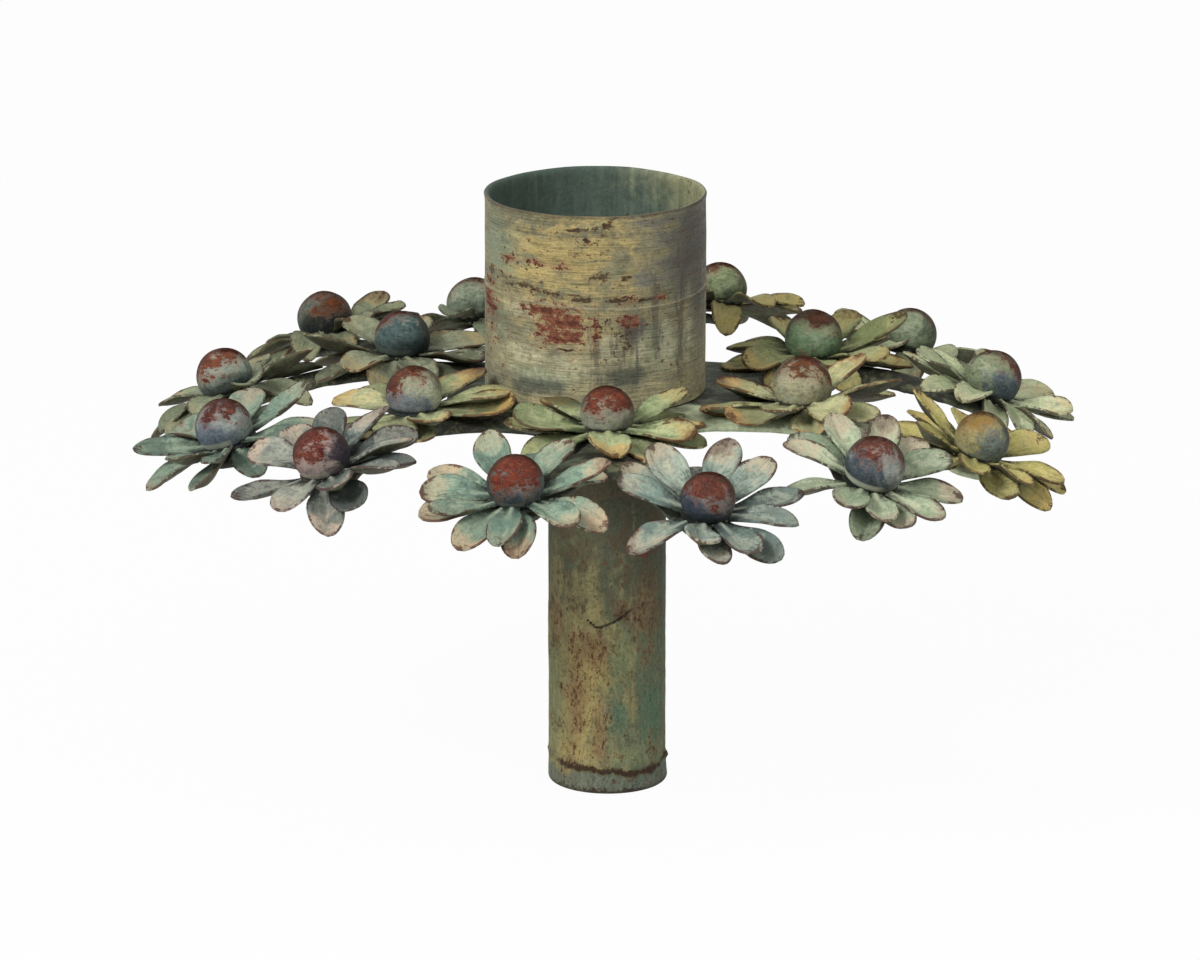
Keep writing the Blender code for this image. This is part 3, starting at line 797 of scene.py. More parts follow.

# Bead looks: the lower half takes painted shade by its share, and the crescent is a painted reflection, a
# pale line low on the left.
# Mottle is the share of orange and maroon in the cap, and ragged says how uneven the cap's edge is.
BeadLook = namedtuple(
    "BeadLook", "size ground shade shade_towards gloom crescent cap cap_towards cap_reach mottle ragged",
    defaults=(1.0, 1.0))
BEAD_LOOKS = {
    "inner_flower_1": BeadLook(
        0.91, "90907E", "626659", (0.6, 0.2, -0.7), 0.15, 0.2, "6A2415", (0.00, -0.20, 0.98), 0.34),
    "inner_flower_2": BeadLook(
        1.0, "A09D80", "74765A", (0.8, 0.0, -0.4), 0.10, 0.1, "603418", (0.25, -0.05, 0.95), 0.50),
    "inner_flower_3": BeadLook(
        1.0, "7C9672", "4A5C44", (0.6, 0.0, -0.7), 0.20, 0.0, "3A170F", (0.12, 0.20, 0.97), 0.32, 0.5, 0.45),
    "inner_flower_4": BeadLook(
        0.97, "7A8466", "434B38", (-0.5, 0.3, -0.6), 0.35, 0.0, "4A3628", (0.2, 0.4, 0.9), 0.60),
    "inner_flower_5": BeadLook(
        0.96, "526462", "33403C", (0.3, -0.4, -0.7), 0.60, 0.1, "481614", (-0.45, 0.35, 0.8), 0.55, 0.6, 0.6),
    "inner_flower_6": BeadLook(
        0.95, "9A9E84", "6E7680", (-0.4, -0.5, -0.7), 0.20, 0.1, "5E2A1C", (-0.55, -0.08, 0.85), 0.52),
    "outer_flower_1a": BeadLook(
        0.94, "667070", "3A464A", (-0.7, -0.3, -0.6), 0.55, 0.2, "702A1B", (0.16, -0.36, 0.88), 0.26, 1, 1.2),
    "outer_flower_1b": BeadLook(
        0.90, "686868", "38404E", (-0.7, -0.4, -0.5), 0.75, 0.0, "5A3028", (0.15, -0.30, 0.93), 0.28, 0.9),
    "outer_flower_2a": BeadLook(
        1.0, "8A8F8A", "3C4650", (-0.8, -0.5, -0.3), 0.50, 1.0, "5C302A", (0.15, -0.05, 0.98), 0.50, 0.8),
    "outer_flower_2b": BeadLook(
        0.93, "A09868", "5F6C68", (0.7, -0.5, -0.5), 0.20, 0.2, "967C44", (-0.3, 0.1, 0.95), 0.45, 0.35),
    "outer_flower_3a": BeadLook(
        0.97, "828C6E", "4A5660", (0.5, -0.5, -0.7), 0.35, 0.0, "4A2A1E", (0.65, 0.1, 0.76), 0.66, 0.7),
    "outer_flower_3b": BeadLook(
        0.95, "858F74", "4C5744", (0.9, 0.0, -0.3), 0.25, 0.0, "5E4A38", (0.3, 0.5, 0.8), 0.85, 0.4),
    "outer_flower_4a": BeadLook(
        0.97, "7C8763", "454C36", (0.5, -0.2, -0.7), 0.35, 0.0, "4E3828", (-0.2, 0.3, 0.9), 0.60, 0.6),
    "outer_flower_4b": BeadLook(
        1.0, "7A8570", "3C4436", (0.3, -0.4, -0.6), 0.35, 0.0, "523A2C", (0.0, 0.4, 0.8), 0.60, 0.6),
    "outer_flower_5a": BeadLook(
        0.97, "565E56", "211F18", (0.2, -0.8, -0.4), 0.60, 0.0, "4E3018", (0.15, 0.0, 1.0), 0.56, 0.8, 0.8),
    "outer_flower_5b": BeadLook(
        0.97, "929E90", "2E383A", (0.2, -0.3, -0.9), 0.75, 0.1, "743320", (-0.50, -0.05, 0.86), 0.36),
    "outer_flower_6a": BeadLook(
        0.97, "868F8A", "5A6470", (-0.3, -0.5, -0.6), 0.25, 0.7, "44161A", (-0.1, 0.05, 1.0), 0.34),
    "outer_flower_6b": BeadLook(
        0.94, "A09088", "17162A", (0.98, -0.1, 0.15), 0.25, 0.5, "5C1614", (-0.75, -0.30, 0.65), 0.34),
}


def petal_half_width(share):
    """Half the width at a share of the petal's length: a narrow neck, a full leaf, a blunt point."""
    if share < PETAL_FULL_AT:
        swell = share / PETAL_FULL_AT
        swell = swell * swell * (3 - 2 * swell)
        return (PETAL_NECK + (PETAL_FULL - PETAL_NECK) * swell) / 2
    past = (share - PETAL_FULL_AT) / (1 - PETAL_FULL_AT)
    return PETAL_FULL / 2 * (1 - past ** PETAL_POINT[0]) ** PETAL_POINT[1]


def petal_blank():
    """One stamped petal that points along +X from its neck: cupped, ribbed at the neck, creased."""
    bm = bmesh.new()
    length = FLOWER_RADIUS - DISC_RADIUS
    lines = []
    marks = []
    for row in range(PETAL_ROWS + 1):
        share = 1 - (1 - row / PETAL_ROWS) ** PETAL_ROWS_TO_TIP
        half = petal_half_width(share)
        fullness = half / (PETAL_FULL / 2)
        line = []
        for column in range(PETAL_COLUMNS + 1):
            side = 2 * column / PETAL_COLUMNS - 1
            past = max(0.0, share - PETAL_FULL_AT) / (1 - PETAL_FULL_AT)
            cup = PETAL_CUP_DEPTH * math.hypot(side * fullness, past) ** PETAL_CUP_CURVE
            neck = max(0.0, 1 - share / PETAL_RIB_REACH)
            rib = PETAL_RIB * neck * math.exp(-(side / PETAL_RIB_WIDTH) ** 2)
            middle = share * (1 - share) * 4
            crease = PETAL_CREASE * middle * math.exp(-(side / PETAL_CREASE_WIDTH) ** 2)
            line.append(bm.verts.new((length * share, half * side, cup + rib - crease)))
            marks.append((share, side, side * fullness))
        lines.append(line)
    for near, far in zip(lines, lines[1:]):
        for column in range(PETAL_COLUMNS):
            bm.faces.new((near[column], far[column], far[column + 1], near[column + 1]))
    mesh = plain_mesh(bm, "petal_blank")
    for name, values in zip(("petal_along", "petal_across", "petal_breadth"), zip(*marks)):
        add_attribute(mesh, name, values)
    mesh.shade_smooth()
    return mesh


LAYER_INPUTS = {
    "Geometry": "Geometry", "Petal": "Object", "Lift": "Float", "Lift Spread": "Float",
    "Yaw Spread": "Float", "Roll Spread": "Float", "Shortening": "Float", "Width": "Float",
    "Length": "Float", "Seed": "Int", "Paint": "Material",
}


def layer_tree():
    """Geometry Nodes that set copies of a petal on their roots, each bent a little differently."""
    tree = bpy.data.node_groups.new("petal_layer", "GeometryNodeTree")
    tree.interface.new_socket("Geometry", in_out="OUTPUT", socket_type="NodeSocketGeometry")
    for name, kind in LAYER_INPUTS.items():
        tree.interface.new_socket(name, in_out="INPUT", socket_type="NodeSocket" + kind)
    bench = Bench(tree)
    group = tree.nodes.new("NodeGroupInput")
    given = {name: Signal(bench, group.outputs[name]) for name in LAYER_INPUTS}
    index = bench.node("GeometryNodeInputIndex")

    def chance(low, high, draw):
        sockets = {"Min": low, "Max": high, "ID": index, "Seed": given["Seed"] + draw}
        return bench.node("FunctionNodeRandomValue", {"data_type": "FLOAT"}, sockets, "Value")

    petal = bench.node("GeometryNodeObjectInfo", None, {"Object": given["Petal"]}, "Geometry")
    azimuth = bench.node("GeometryNodeInputNamedAttribute", None, {"Name": "petal_azimuth"}, "Attribute")
    yaw = chance(-given["Yaw Spread"], given["Yaw Spread"], 1)
    roll = chance(-given["Roll Spread"], given["Roll Spread"], 2)
    lift = given["Lift"] + chance(-given["Lift Spread"], given["Lift Spread"], 3)
    euler = bench.node("ShaderNodeCombineXYZ", None, {0: roll, 1: -lift, 2: azimuth + yaw})
    length = given["Length"] * chance(1 - given["Shortening"], 1.0, 4)
    width = given["Width"] * chance(1 - PETAL_WIDTH_SPREAD, 1 + PETAL_WIDTH_SPREAD, 5)
    scale = bench.node("ShaderNodeCombineXYZ", None, {0: length, 1: width, 2: 1.0})
    petals = bench.node("GeometryNodeInstanceOnPoints", None, {
        "Points": given["Geometry"], "Instance": petal, "Scale": scale,
        "Rotation": bench.node("FunctionNodeEulerToRotation", None, {"Euler": euler}),
    })
    each_petal = {"data_type": "FLOAT", "domain": "INSTANCE"}
    for name, draw in (("petal_tone", 6), ("petal_bend", 7)):
        sockets = {"Geometry": petals, "Name": name, "Value": chance(0.0, 1.0, draw)}
        petals = bench.node("GeometryNodeStoreNamedAttribute", each_petal, sockets)
    whole = bench.node("GeometryNodeRealizeInstances", None, {"Geometry": petals})
    painted = bench.node("GeometryNodeSetMaterial", None, {"Geometry": whole, "Material": given["Paint"]})
    result = tree.nodes.new("NodeGroupOutput")
    bench.plug(result.inputs["Geometry"], painted)
    return tree


def set_inputs(modifier, values):
    for item in modifier.node_group.interface.items_tree:
        if item.item_type == "SOCKET" and item.in_out == "INPUT" and item.name in values:
            modifier[item.identifier] = values[item.name]


def read_attribute(mesh, name):
    values = np.zeros(len(mesh.vertices), np.float32)
    mesh.attributes[name].data.foreach_get("value", values)
    return values


def flower_place(label):
    """The frame of a flower at its bead's foot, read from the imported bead."""
    points = np.array([vert.co for vert in NODES[f"{label}_bead"].data.vertices])
    low, high = Vector(points.min(0)), Vector(points.max(0))
    azimuth = math.atan2((low.y + high.y) / 2, (low.x + high.x) / 2)
    lean = OUTER_LEAN if label.startswith("outer") else 0.0
    turned = Matrix.Rotation(azimuth, 4, "Z") @ Matrix.Rotation(lean, 4, "Y")
    local = points @ np.array(turned.to_3x3())
    middle = (local.min(0) + local.max(0)) / 2
    return Matrix.Translation(turned @ Vector((middle[0], middle[1], local[:, 2].min()))) @ turned


def bent_clear_of_cup(point):
    """Bends a petal up along the cup's wall where it would run into it."""
    limit = CUP_LIP_RADIUS + CUP_CLEARANCE
    axis = Vector((*CUP_CENTRE, point.z))
    away = point - axis
    past = (away.length - limit) / CUP_BEND
    if past > CUP_BEND_REACH:
        return point
    kept = CUP_BEND * math.log1p(math.exp(past))
    raised = kept - (away.length - limit)
    return axis + away.normalized() * (limit + kept) + Vector((0, 0, raised))


def resting(point, gap):
    """Lays a petal on the frame's sheet where it would sag through it."""
    hit = sheet_top.ray_cast(point + Vector((0, 0, REST_REACH)), Vector((0, 0, -1)), 2 * REST_REACH)[0]
    if hit and point.z < hit.z + gap:
        return Vector((point.x, point.y, hit.z + gap))
    return point


def add_disc(bm, along):
    """Closes the layer's middle between its petals' necks."""
    roots = [vert for vert in bm.verts if vert[along] == 0]
    roots.sort(key=lambda vert: math.atan2(vert.co.y, vert.co.x))
    centre = bm.verts.new((0, 0, 0))
    for here, after in zip(roots, roots[1:] + roots[:1]):
        face = bm.faces.new((centre, here, after))
        face.smooth = True


def petal_roots(name, azimuths):
    """The points on the disc's edge where a layer's petals begin, each with its direction."""
    mesh = bpy.data.meshes.new(name)
    places = [(DISC_RADIUS * math.cos(turn), DISC_RADIUS * math.sin(turn), 0) for turn in azimuths]
    mesh.from_pydata(places, [], [])
    add_attribute(mesh, "petal_azimuth", azimuths)
    return mesh


def laid_out(name, azimuths, inputs):
    """A layer's petals as the Geometry Nodes lay them out, in the flower's own frame."""
    base = add_piece(name + "_roots", petal_roots(name, azimuths), [])
    tree = base.modifiers.new("layer", "NODES")
    tree.node_group = layers
    set_inputs(tree, inputs)
    graph = bpy.context.evaluated_depsgraph_get()
    mesh = bpy.data.meshes.new_from_object(base.evaluated_get(graph))
    bpy.data.objects.remove(base)
    mesh.materials.clear()
    mesh.name = name + "_skin"
    return mesh


def petal_layer(label, layer, world, seed, azimuths, lift, spread, paints):
    """One stamped layer of a flower: laid out, then bent petal by petal, closed and thickened."""
    name = f"{label}_{layer}_petals"
    inner = label.startswith("inner")
    mesh = laid_out(name, azimuths, {
        "Petal": blank, "Lift": lift - INNER_DIP * inner, "Lift Spread": spread["lift"],
        "Yaw Spread": PLACED_YAW if label in PETAL_DIRECTIONS else spread["yaw"],
        "Roll Spread": spread["roll"], "Shortening": spread["short"],
        "Width": INNER_WIDTH if inner else 1.0, "Length": INNER_LENGTH if inner else 1.0,
        "Seed": seed, "Paint": paints[0],
    })
    shares = [read_attribute(mesh, f"petal_{part}") for part in ("along", "breadth", "bend")]
    calm = INNER_CALM if inner else 0.0
    to_front = (world.to_3x3().inverted() @ Vector((0, -1, 0))).xy.normalized()
    most_sag = FLOWER_SAG.get(label, INNER_SAG if inner else BACK_SAG * (world.translation.y > 0))
    gap = REST_GAP * (2 if layer == "upper" else 1)
    towards_cup = [max(0.0, -vert.co.x / FLOWER_RADIUS) * inner for vert in mesh.vertices]
    add_attribute(mesh, "petal_shadow", [LOWER_SHADOW * (layer == "lower") + hid for hid in towards_cup])
    for vert, share, side, amount in zip(mesh.vertices, *shares):
        sag = most_sag * max(0.0, vert.co.xy.dot(to_front) / FLOWER_RADIUS)
        droop = PETAL_DROOP * (spread["droop"] - calm + sag + amount - 0.5) * share ** 2
        dent = PETAL_DENT * share * noise.noise((vert.co + Vector((seed, 0, 0))) / PETAL_DENT_SIZE)
        twist = PETAL_TWIST * math.sin(TWIST_DRAW * amount) * side * share
        sweep = PETAL_SWEEP * math.cos(SWEEP_DRAW * amount) * share ** 2 / 2
        sideways = Vector((-vert.co.y, vert.co.x, 0)).normalized() * sweep
        point = world @ (vert.co + sideways + Vector((0, 0, dent + twist - droop)))
        vert.co = resting(bent_clear_of_cup(point) if inner else point, gap)
    bm = bmesh.new()
    bm.from_mesh(mesh)
    key = bm.verts.layers.float["petal_along"]
    inverse = world.inverted()
    for vert in bm.verts:
        vert.co = inverse @ vert.co
    add_disc(bm, key)
    bmesh.ops.remove_doubles(bm, verts=bm.verts, dist=0.000002)
    for vert in bm.verts:
        vert.co = world @ vert.co
    bm.normal_update()
    bm.to_mesh(mesh)
    bm.free()
    made = add_piece(name + "_skin", mesh, paints)
    thicken(made, PETAL_SHEET)
    seat_on_frame(made, "petal_ochre" if inner else "petal_verdigris", name)


def make_bead(label, place, paint_used, size, seed):
    """A stamped dome with a thin flange at its foot, and a few small dents."""
    radius = BEAD_RADIUS * size
    top = BEAD_HEIGHT * size
    centre = top - radius
    lowest = math.asin((BEAD_LOWEST - centre) / radius)
    profile = []
    for row in range(BEAD_ROWS + 1):
        turn = math.radians(90) + (lowest - math.radians(90)) * row / BEAD_ROWS
        profile.append((radius * math.cos(turn), centre + radius * math.sin(turn)))
    profile[0] = (0, top)
    foot = profile[-1][0]
    flange = foot + BEAD_FLANGE
    profile += [(flange, BEAD_FLANGE_TOP), (flange, -LAYER_SEAT), (0, -LAYER_SEAT)]

    def shape(far, turn, height, row):
        if row == 0:
            return far, height
        spot = Vector((far * math.cos(turn), far * math.sin(turn), height)) / BEAD_DENT_SIZE
        dent = BEAD_DENT * (noise.noise(spot + Vector((seed, 0, 0))) - BEAD_DENT_INWARDS)
        return far + dent * far / radius, height + dent * (height - centre) / radius

    mesh = turned_skin(f"{label}_bead_skin", profile, BEAD_SIDES, shape)
    add_attribute(mesh, "bead_height", [vert.co.z / top for vert in mesh.vertices])
    mesh.transform(place @ Matrix.Translation((0, 0, -BEAD_SINK)))
    bead = add_piece(f"{label}_bead_skin", mesh, [paint_used])
    seat_on_frame(bead, "bead_rust", f"{label}_bead")


def petal_azimuths(label, number):
    """Directions of a flower's petals in its own plane, with 0 pointing away from the stem."""
    if label in PETAL_DIRECTIONS:
        return [math.radians(turn) for turn in PETAL_DIRECTIONS[label]]
    count = 2 * PETALS_IN_A_LAYER
    return [math.tau * (2 * FLOWER_TURN * number + petal) / count for petal in range(count)]


def make_flowers():
    underside = underside_paint()
    for number, label in enumerate(PETAL_PAINTS):
        place = flower_place(label)
        petal = petal_paint(f"{label}_petal_paint", *map(paint, PETAL_PAINTS[label].split()))
        look = BEAD_LOOKS[label]
        middle = place @ Vector((0, 0, (BEAD_HEIGHT - BEAD_RADIUS) * look.size - BEAD_SINK))
        bead = bead_paint(f"{label}_bead_paint", middle, look)
        tilt = Matrix.Rotation(-FLOWER_RISE.get(label, 0.0), 4, "Y")
        upper = place @ tilt @ Matrix.Translation((0, 0, -LAYER_SEAT))
        lower = upper @ Matrix.Translation((0, 0, -LAYER_STEP))
        azimuths = petal_azimuths(label, number)
        paints = [petal, underside]
        petal_layer(label, "lower", lower, LOWER_SEED + number, azimuths[1::2],
                    LOWER_LIFT, LOWER_SPREAD, paints)
        petal_layer(label, "upper", upper, UPPER_SEED + number, azimuths[0::2],
                    UPPER_LIFT, UPPER_SPREAD, paints)
        make_bead(label, place, bead, look.size, number)


# Paints of the cup

SHEEN = 0.2
KHAKI = paint("A29468")
KHAKI_GOLD = paint("B8A46C")
KHAKI_PALE = paint("BDB999")
SAGE = paint("8D896B")
TEAL = paint("768870")
TEAL_DARK = paint("414B45")
SLATE = paint("504B46")
SLATE_GREY = paint("686A5F")
RUST = paint("6C352A")
RUST_DARK = paint("502A22")
RUST_PALE = paint("AD8C68")
RUST_ORANGE = paint("9E6240")
SOOT = paint("3A291F")
SEAM_PALE = paint("ADA78A")
# Inside paint: its own green and olive, with painted shade on the left and low down and painted light on the
# right and near the lip
INSIDE_DARK = paint("48564D")
INSIDE_GREEN = paint("616E60")
INSIDE_OLIVE = paint("8C8D6C")
CUP_PALE_FOOT = (0.0945, 0.0875)
# Across the cup, where painted shade darkens its left edge
CUP_SHADED_LEFT_EDGE = (-0.0160, -0.0225)


def cup_outside_paint():
    """Khaki over sage, brushed round the cup, with slate to the right, rubbed rust patches, and painted shade
    down the left edge and at the foot.
    """
    mix = Finish("cup_brushed_khaki", SAGE)
    rust, soot, slate, shade, smudge, pale, gold, teal, specks, seam = mix.attributes(
        "rust soot slate shade smudge pale gold teal specks seam")
    strokes = mix.grain((55, 55, 800), 5, 0.7, 0.5)
    hairs = mix.grain((150, 150, 3400), 4, 0.75, 0.2, (3, 1, 2))
    wide = mix.grain((60, 60, 110), 4, 0.6, 0.5)
    cloud = mix.grain((170, 170, 240), 5, 0.7, 0.6, (7, 2, 5))
    upright = mix.grain((520, 520, 90), 4, 0.7, 0.4, (1, 8, 3))
    ragged = mix.grain((460, 460, 800), 5, 0.8, 0.5)
    crumb = mix.grain(1100, 4, 0.75)
    x, z = mix.axis(0), mix.axis(2)

    mix.lay(KHAKI, wide + 0.7 * cloud, -0.08, 0.09)
    mix.lay(KHAKI_GOLD, cloud - 0.6 * wide, 0.02, 0.14, 0.5)
    mix.lay(KHAKI_GOLD, gold + 1.8 * cloud + 1.6 * strokes, 0.30, 0.85, 0.8)
    mix.lay(TEAL, teal + 1.8 * cloud + 1.2 * wide, 0.30, 0.95, 0.75)
    right = slate + 1.4 * wide + 1.1 * strokes + 0.8 * cloud
    mix.lay(SLATE_GREY, right, 0.26, 0.70, 0.9)
    mix.lay(SLATE, right + 1.2 * hairs, 0.60, 0.95, 0.8)
    mix.lay(KHAKI_PALE, pale + 1.8 * cloud + 1.4 * upright, 0.34, 0.95, 0.65)
    mix.lay(KHAKI_PALE, z + 0.02 * wide + 0.015 * upright, *CUP_PALE_FOOT, 0.32)
    mix.lay(TEAL_DARK, shade + 1.2 * cloud + 0.8 * upright, 0.30, 0.75, 0.75)
    # Painted shade down the cup's left edge, in slate grey.
    mix.lay(SLATE_GREY, x + 0.01 * cloud, *CUP_SHADED_LEFT_EDGE, 0.30)
    mix.lay(SLATE, smudge + 2.4 * upright + 1.6 * crumb, 0.38, 0.72, 0.65)
    mix.tone(0.95 + 1.5 * strokes + 1.5 * hairs + 1.3 * wide + 0.8 * cloud)

    mix.lay(RUST_DARK, ragged + 0.9 * crumb + strokes, 0.14, 0.21, 0.55)
    flaking = 0.55 + 0.45 * mix.rise(rust, 0.03, 0.30)
    worn = 0.78 * rust + (3.0 * ragged + 1.6 * crumb + 1.6 * strokes) * flaking
    mix.lay(RUST_PALE, worn, 0.24, 0.56, 0.5)
    mix.lay(RUST, worn, 0.44, 0.58, 0.9)
    mix.lay(RUST_ORANGE, ragged - 1.2 * crumb, 0.05, 0.13, mix.rise(rust, 0.40, 0.70) * 0.6)
    pitted = ragged + 0.6 * crumb + 0.6 * strokes
    mix.lay(RUST_DARK, pitted, 0.03, 0.10, mix.rise(rust, 0.30, 0.55) * 0.85)
    mix.lay(RUST_DARK, crumb + 1.2 * ragged, 0.02, 0.16, mix.rise(rust, 0.10, 0.40) * 0.5)
    mix.tone(1.0 + 1.7 * crumb + ragged)
    sooty = soot + 3.0 * ragged + 1.6 * crumb + 1.4 * strokes
    mix.lay(BROWN, sooty, 0.30, 0.60, 0.35)
    mix.lay(SOOT, sooty, 0.50, 0.74, 0.85)
    mix.lay(SOOT, crumb + 0.7 * ragged + 0.16 * specks, 0.20, 0.26, 0.85)
    mix.lay(SEAM_PALE, seam + 2 * ragged, 0.55, 1.0, 0.45)
    mix.lay(SOOT, z + 0.002 * ragged, CUP_HIGH.z - 0.0008, CUP_HIGH.z - 0.0003, 0.6)
    return mix.finished(0.65 + strokes + crumb, SHEEN, strokes + hairs + 0.8 * crumb, depth=0.0002)


def cup_inside_paint(name="cup_inside_paint"):
    """Dark green inside, brushed upright, turning olive to the right and under the lip, partly as painted
    light and shade.
    """
    mix = Finish(name, INSIDE_DARK)
    runs = mix.grain((620, 620, 50), 4, 0.7, 0.3)
    cloud = mix.grain(150, 5, 0.7)
    crumb = mix.grain(900, 4, 0.75)
    # Green and olive paint, with painted shade on the left wall and low down, and painted light on the right
    # wall and near the lip.
    right = mix.rise(mix.axis(0) + 0.014 * cloud + 0.008 * runs, -0.012, 0.026)
    lip = mix.rise(mix.axis(2) + 0.01 * cloud, CUP_HIGH.z - 0.009, CUP_HIGH.z - 0.001)
    mix.lay(INSIDE_GREEN, right + 0.3 * cloud, 0.0, 0.85)
    mix.lay(INSIDE_OLIVE, right + 0.25 * lip + 0.4 * cloud, 0.40, 1.20)
    mix.tone(1.0 + 1.2 * runs + crumb + 0.6 * cloud)
    mix.lay(SOOT, crumb + 0.8 * cloud, 0.16, 0.22, 0.7)
    return mix.finished(0.7 + runs, SHEEN, runs + crumb, depth=0.00015)


# Paint of the stem

OLIVE = paint("9C9366")
OLIVE_PALE = paint("AAA478")
OCHRE = paint("B5A46A")
STEM_GREEN = paint("6C755B")
STEM_TEAL_GREEN = paint("5F7A62")
STEM_SAGE_GREEN = paint("869068")
# Colours of the wreath's painted shadow on the top of the stem
STEM_SHADOW_SLATE = paint("4C5142")
STEM_SHADOW_UMBER = paint("40392B")
STEM_CRIMSON = paint("71382F")
STEM_BAND = paint("6A756A")
BROWN = paint("5C422C")
BROWN_PALE = paint("947653")
BROWN_DARK = paint("38271C")
CRACK_DARK = paint("221913")
# Heights of the wreath's painted shadow on the stem and of its darkest part
STEM_WREATH_SHADOW = (0.028, 0.049)
STEM_WREATH_SHADOW_CORE = (0.049, 0.057)
# Heights over which painted light makes the stem a little lighter towards the foot
STEM_LIGHTENS = (0.036, 0.020)
# Heights of the dark brown along the bottom edge of the end cap
STEM_DARK_BOTTOM_RIM = (0.0016, 0.0003)


def stem_paint():
    """Grainy olive, with upright brown scratches, green runs, a dark uneven weld and painted shadow of the
    wreath at the top.
    """
    mix = Finish("stem_grainy_olive", STEM_GREEN)
    brown, sage, red, teal, ochre, crack, weld = mix.attributes("brown sage red teal ochre crack weld")
    upright = mix.grain((1150, 1150, 260), 5, 0.75, 0.4)
    runs = mix.grain((300, 300, 55), 5, 0.65, 0.3)
    cloud = mix.grain(190, 5, 0.75, 0.4)
    crumb = mix.grain(1500, 4, 0.8)
    fleck = mix.grain((1500, 1500, 650), 3, 0.7, 0.5, (4, 4, 1))
    x, z = mix.axis(0), mix.axis(2)
    # Paler olive on the left half: the stem's own olive, and painted light on the side the key lamp faces.
    mix.lay(OLIVE, x + 0.03 * runs + 0.02 * cloud, 0.005, -0.003)
    mix.lay(STEM_SAGE_GREEN, sage + 1.6 * cloud + 0.8 * runs, 0.36, 0.78, 0.65)
    mix.lay(STEM_TEAL_GREEN, teal + 1.6 * runs + 1.2 * cloud, 0.38, 0.80, 0.75)
    mix.lay(OCHRE, ochre + 2.0 * cloud + 1.2 * upright, 0.36, 0.80, 0.75)
    mix.lay(BROWN_PALE, brown + 2.0 * cloud + 1.6 * upright, 0.36, 0.85, 0.7)
    mix.lay(OLIVE_PALE, cloud + 0.8 * runs, 0.05, 0.15, 0.4)
    # Painted shadow of the wreath over the top of the stem, darkest just under it.
    mix.lay(STEM_SHADOW_SLATE, z + 0.06 * cloud + 0.05 * upright + 0.04 * runs, *STEM_WREATH_SHADOW, 0.85)
    mix.lay(STEM_SHADOW_UMBER, z + 0.03 * cloud + 0.03 * upright, *STEM_WREATH_SHADOW_CORE, 0.6)
    mix.lay(STEM_BAND, z + 0.008 * cloud, WELD_HEIGHT, WELD_HEIGHT - 0.0014, 0.8)
    # Painted light: a little lighter towards the foot, below the wreath's painted shadow.
    lighter = 0.99 + 0.06 * mix.rise(z, *STEM_LIGHTENS)
    mix.tone(lighter + 2.4 * crumb + 1.6 * upright + 1.3 * cloud)
    cover = 0.28 * brown + 2.0 * fleck + 1.1 * upright + 0.6 * cloud
    mix.lay(BROWN, cover, 0.22, 0.46, 0.7)
    mix.lay(BROWN_DARK, cover, 0.40, 0.58, 0.8)
    mix.lay(STEM_CRIMSON, red + 2.0 * cloud + 3.0 * crumb + 2.0 * fleck, 0.42, 0.85, 0.8)
    # Dark brown along the bottom edge of the end cap.
    mix.lay(BROWN_DARK, z + 0.006 * crumb + 0.004 * cloud, *STEM_DARK_BOTTOM_RIM, 0.85)
    mix.lay(BROWN, weld + 2.8 * cloud + 2.0 * crumb, 0.04, 0.45, 0.65)
    mix.lay(BROWN_DARK, weld + 2.6 * crumb + 2.0 * cloud, 0.30, 0.72, 0.9)
    mix.lay(CRACK_DARK, crack + 2.4 * crumb, 0.30, 0.70, 0.9)
    return mix.finished(0.75 + crumb, SHEEN, crumb + 0.8 * upright, depth=0.00028)


# Paint of the frame

FRAME_GREEN = paint("4C5444")
# Dark slate ground of the frame: its own dark paint, and painted shade under the petals
FRAME_SHADED_SLATE = paint("34342C")
FRAME_OLIVE = paint("66684E")
# Pale green of the arm's upper face, partly painted light
FRAME_LIT_PALE = paint("BEC8A4")
FRAME_STRIP = (0.32, 0.947)
FRAME_STRIP_PLACE = -0.0125
FRAME_STRIP_EDGE = (0.0074, 0.0036)
FRAME_STRIP_START = (0.010, 0.018)


def frame_paint(name, lit_strip_share):
    """Dark green and slate with brown specks, partly painted shade, and by its share a pale strip right of
    the cup, partly painted light.
    """
    # Dark green and slate: the frame's own paint, kept dark as painted shade under the petals.
    mix = Finish(name, FRAME_SHADED_SLATE)
    cloud = mix.grain(90, 5, 0.65, 0.5)
    streak = mix.grain(330, 5, 0.7, 0.6)
    crumb = mix.grain(1100, 4, 0.75)
    x, y = mix.axis(0), mix.axis(1)
    mix.lay(FRAME_GREEN, cloud + 0.6 * streak, -0.02, 0.12)
    mix.lay(FRAME_OLIVE, streak - 0.5 * cloud, 0.03, 0.14, 0.7)
    # The arm's pale green strip right of the cup, partly painted light on its upper face; the underside takes
    # none.
    aside = abs(x * FRAME_STRIP[0] + y * FRAME_STRIP[1] + 0.02 * cloud - FRAME_STRIP_PLACE)
    right = mix.rise(x + 0.02 * cloud, *FRAME_STRIP_START)
    mix.lay(FRAME_LIT_PALE, aside, *FRAME_STRIP_EDGE, right * lit_strip_share)
    mix.tone(1.0 + 1.5 * streak + 1.5 * crumb)
    mix.lay(BROWN, crumb + 0.7 * streak, 0.12, 0.20, 0.6)
    return mix.finished(0.7 + crumb, SHEEN, crumb + streak, depth=0.0002)


# Paints of the flowers

# Dark of the painted shade in the petals' creases, by the cup's wall and round the beads' feet
PAINTED_SHADE_DARK = paint("22251E")
UNDER_GREEN = paint("646C54")
UNDER_BROWN = paint("504C3A")
CUP_SHADOW = (0.00072, 0.00054)
BEAD_SHEEN = 0.06
# Direction of the painted reflection low on the beads
BEAD_REFLECTION_TOWARDS = (-0.75, -0.65, -0.1)
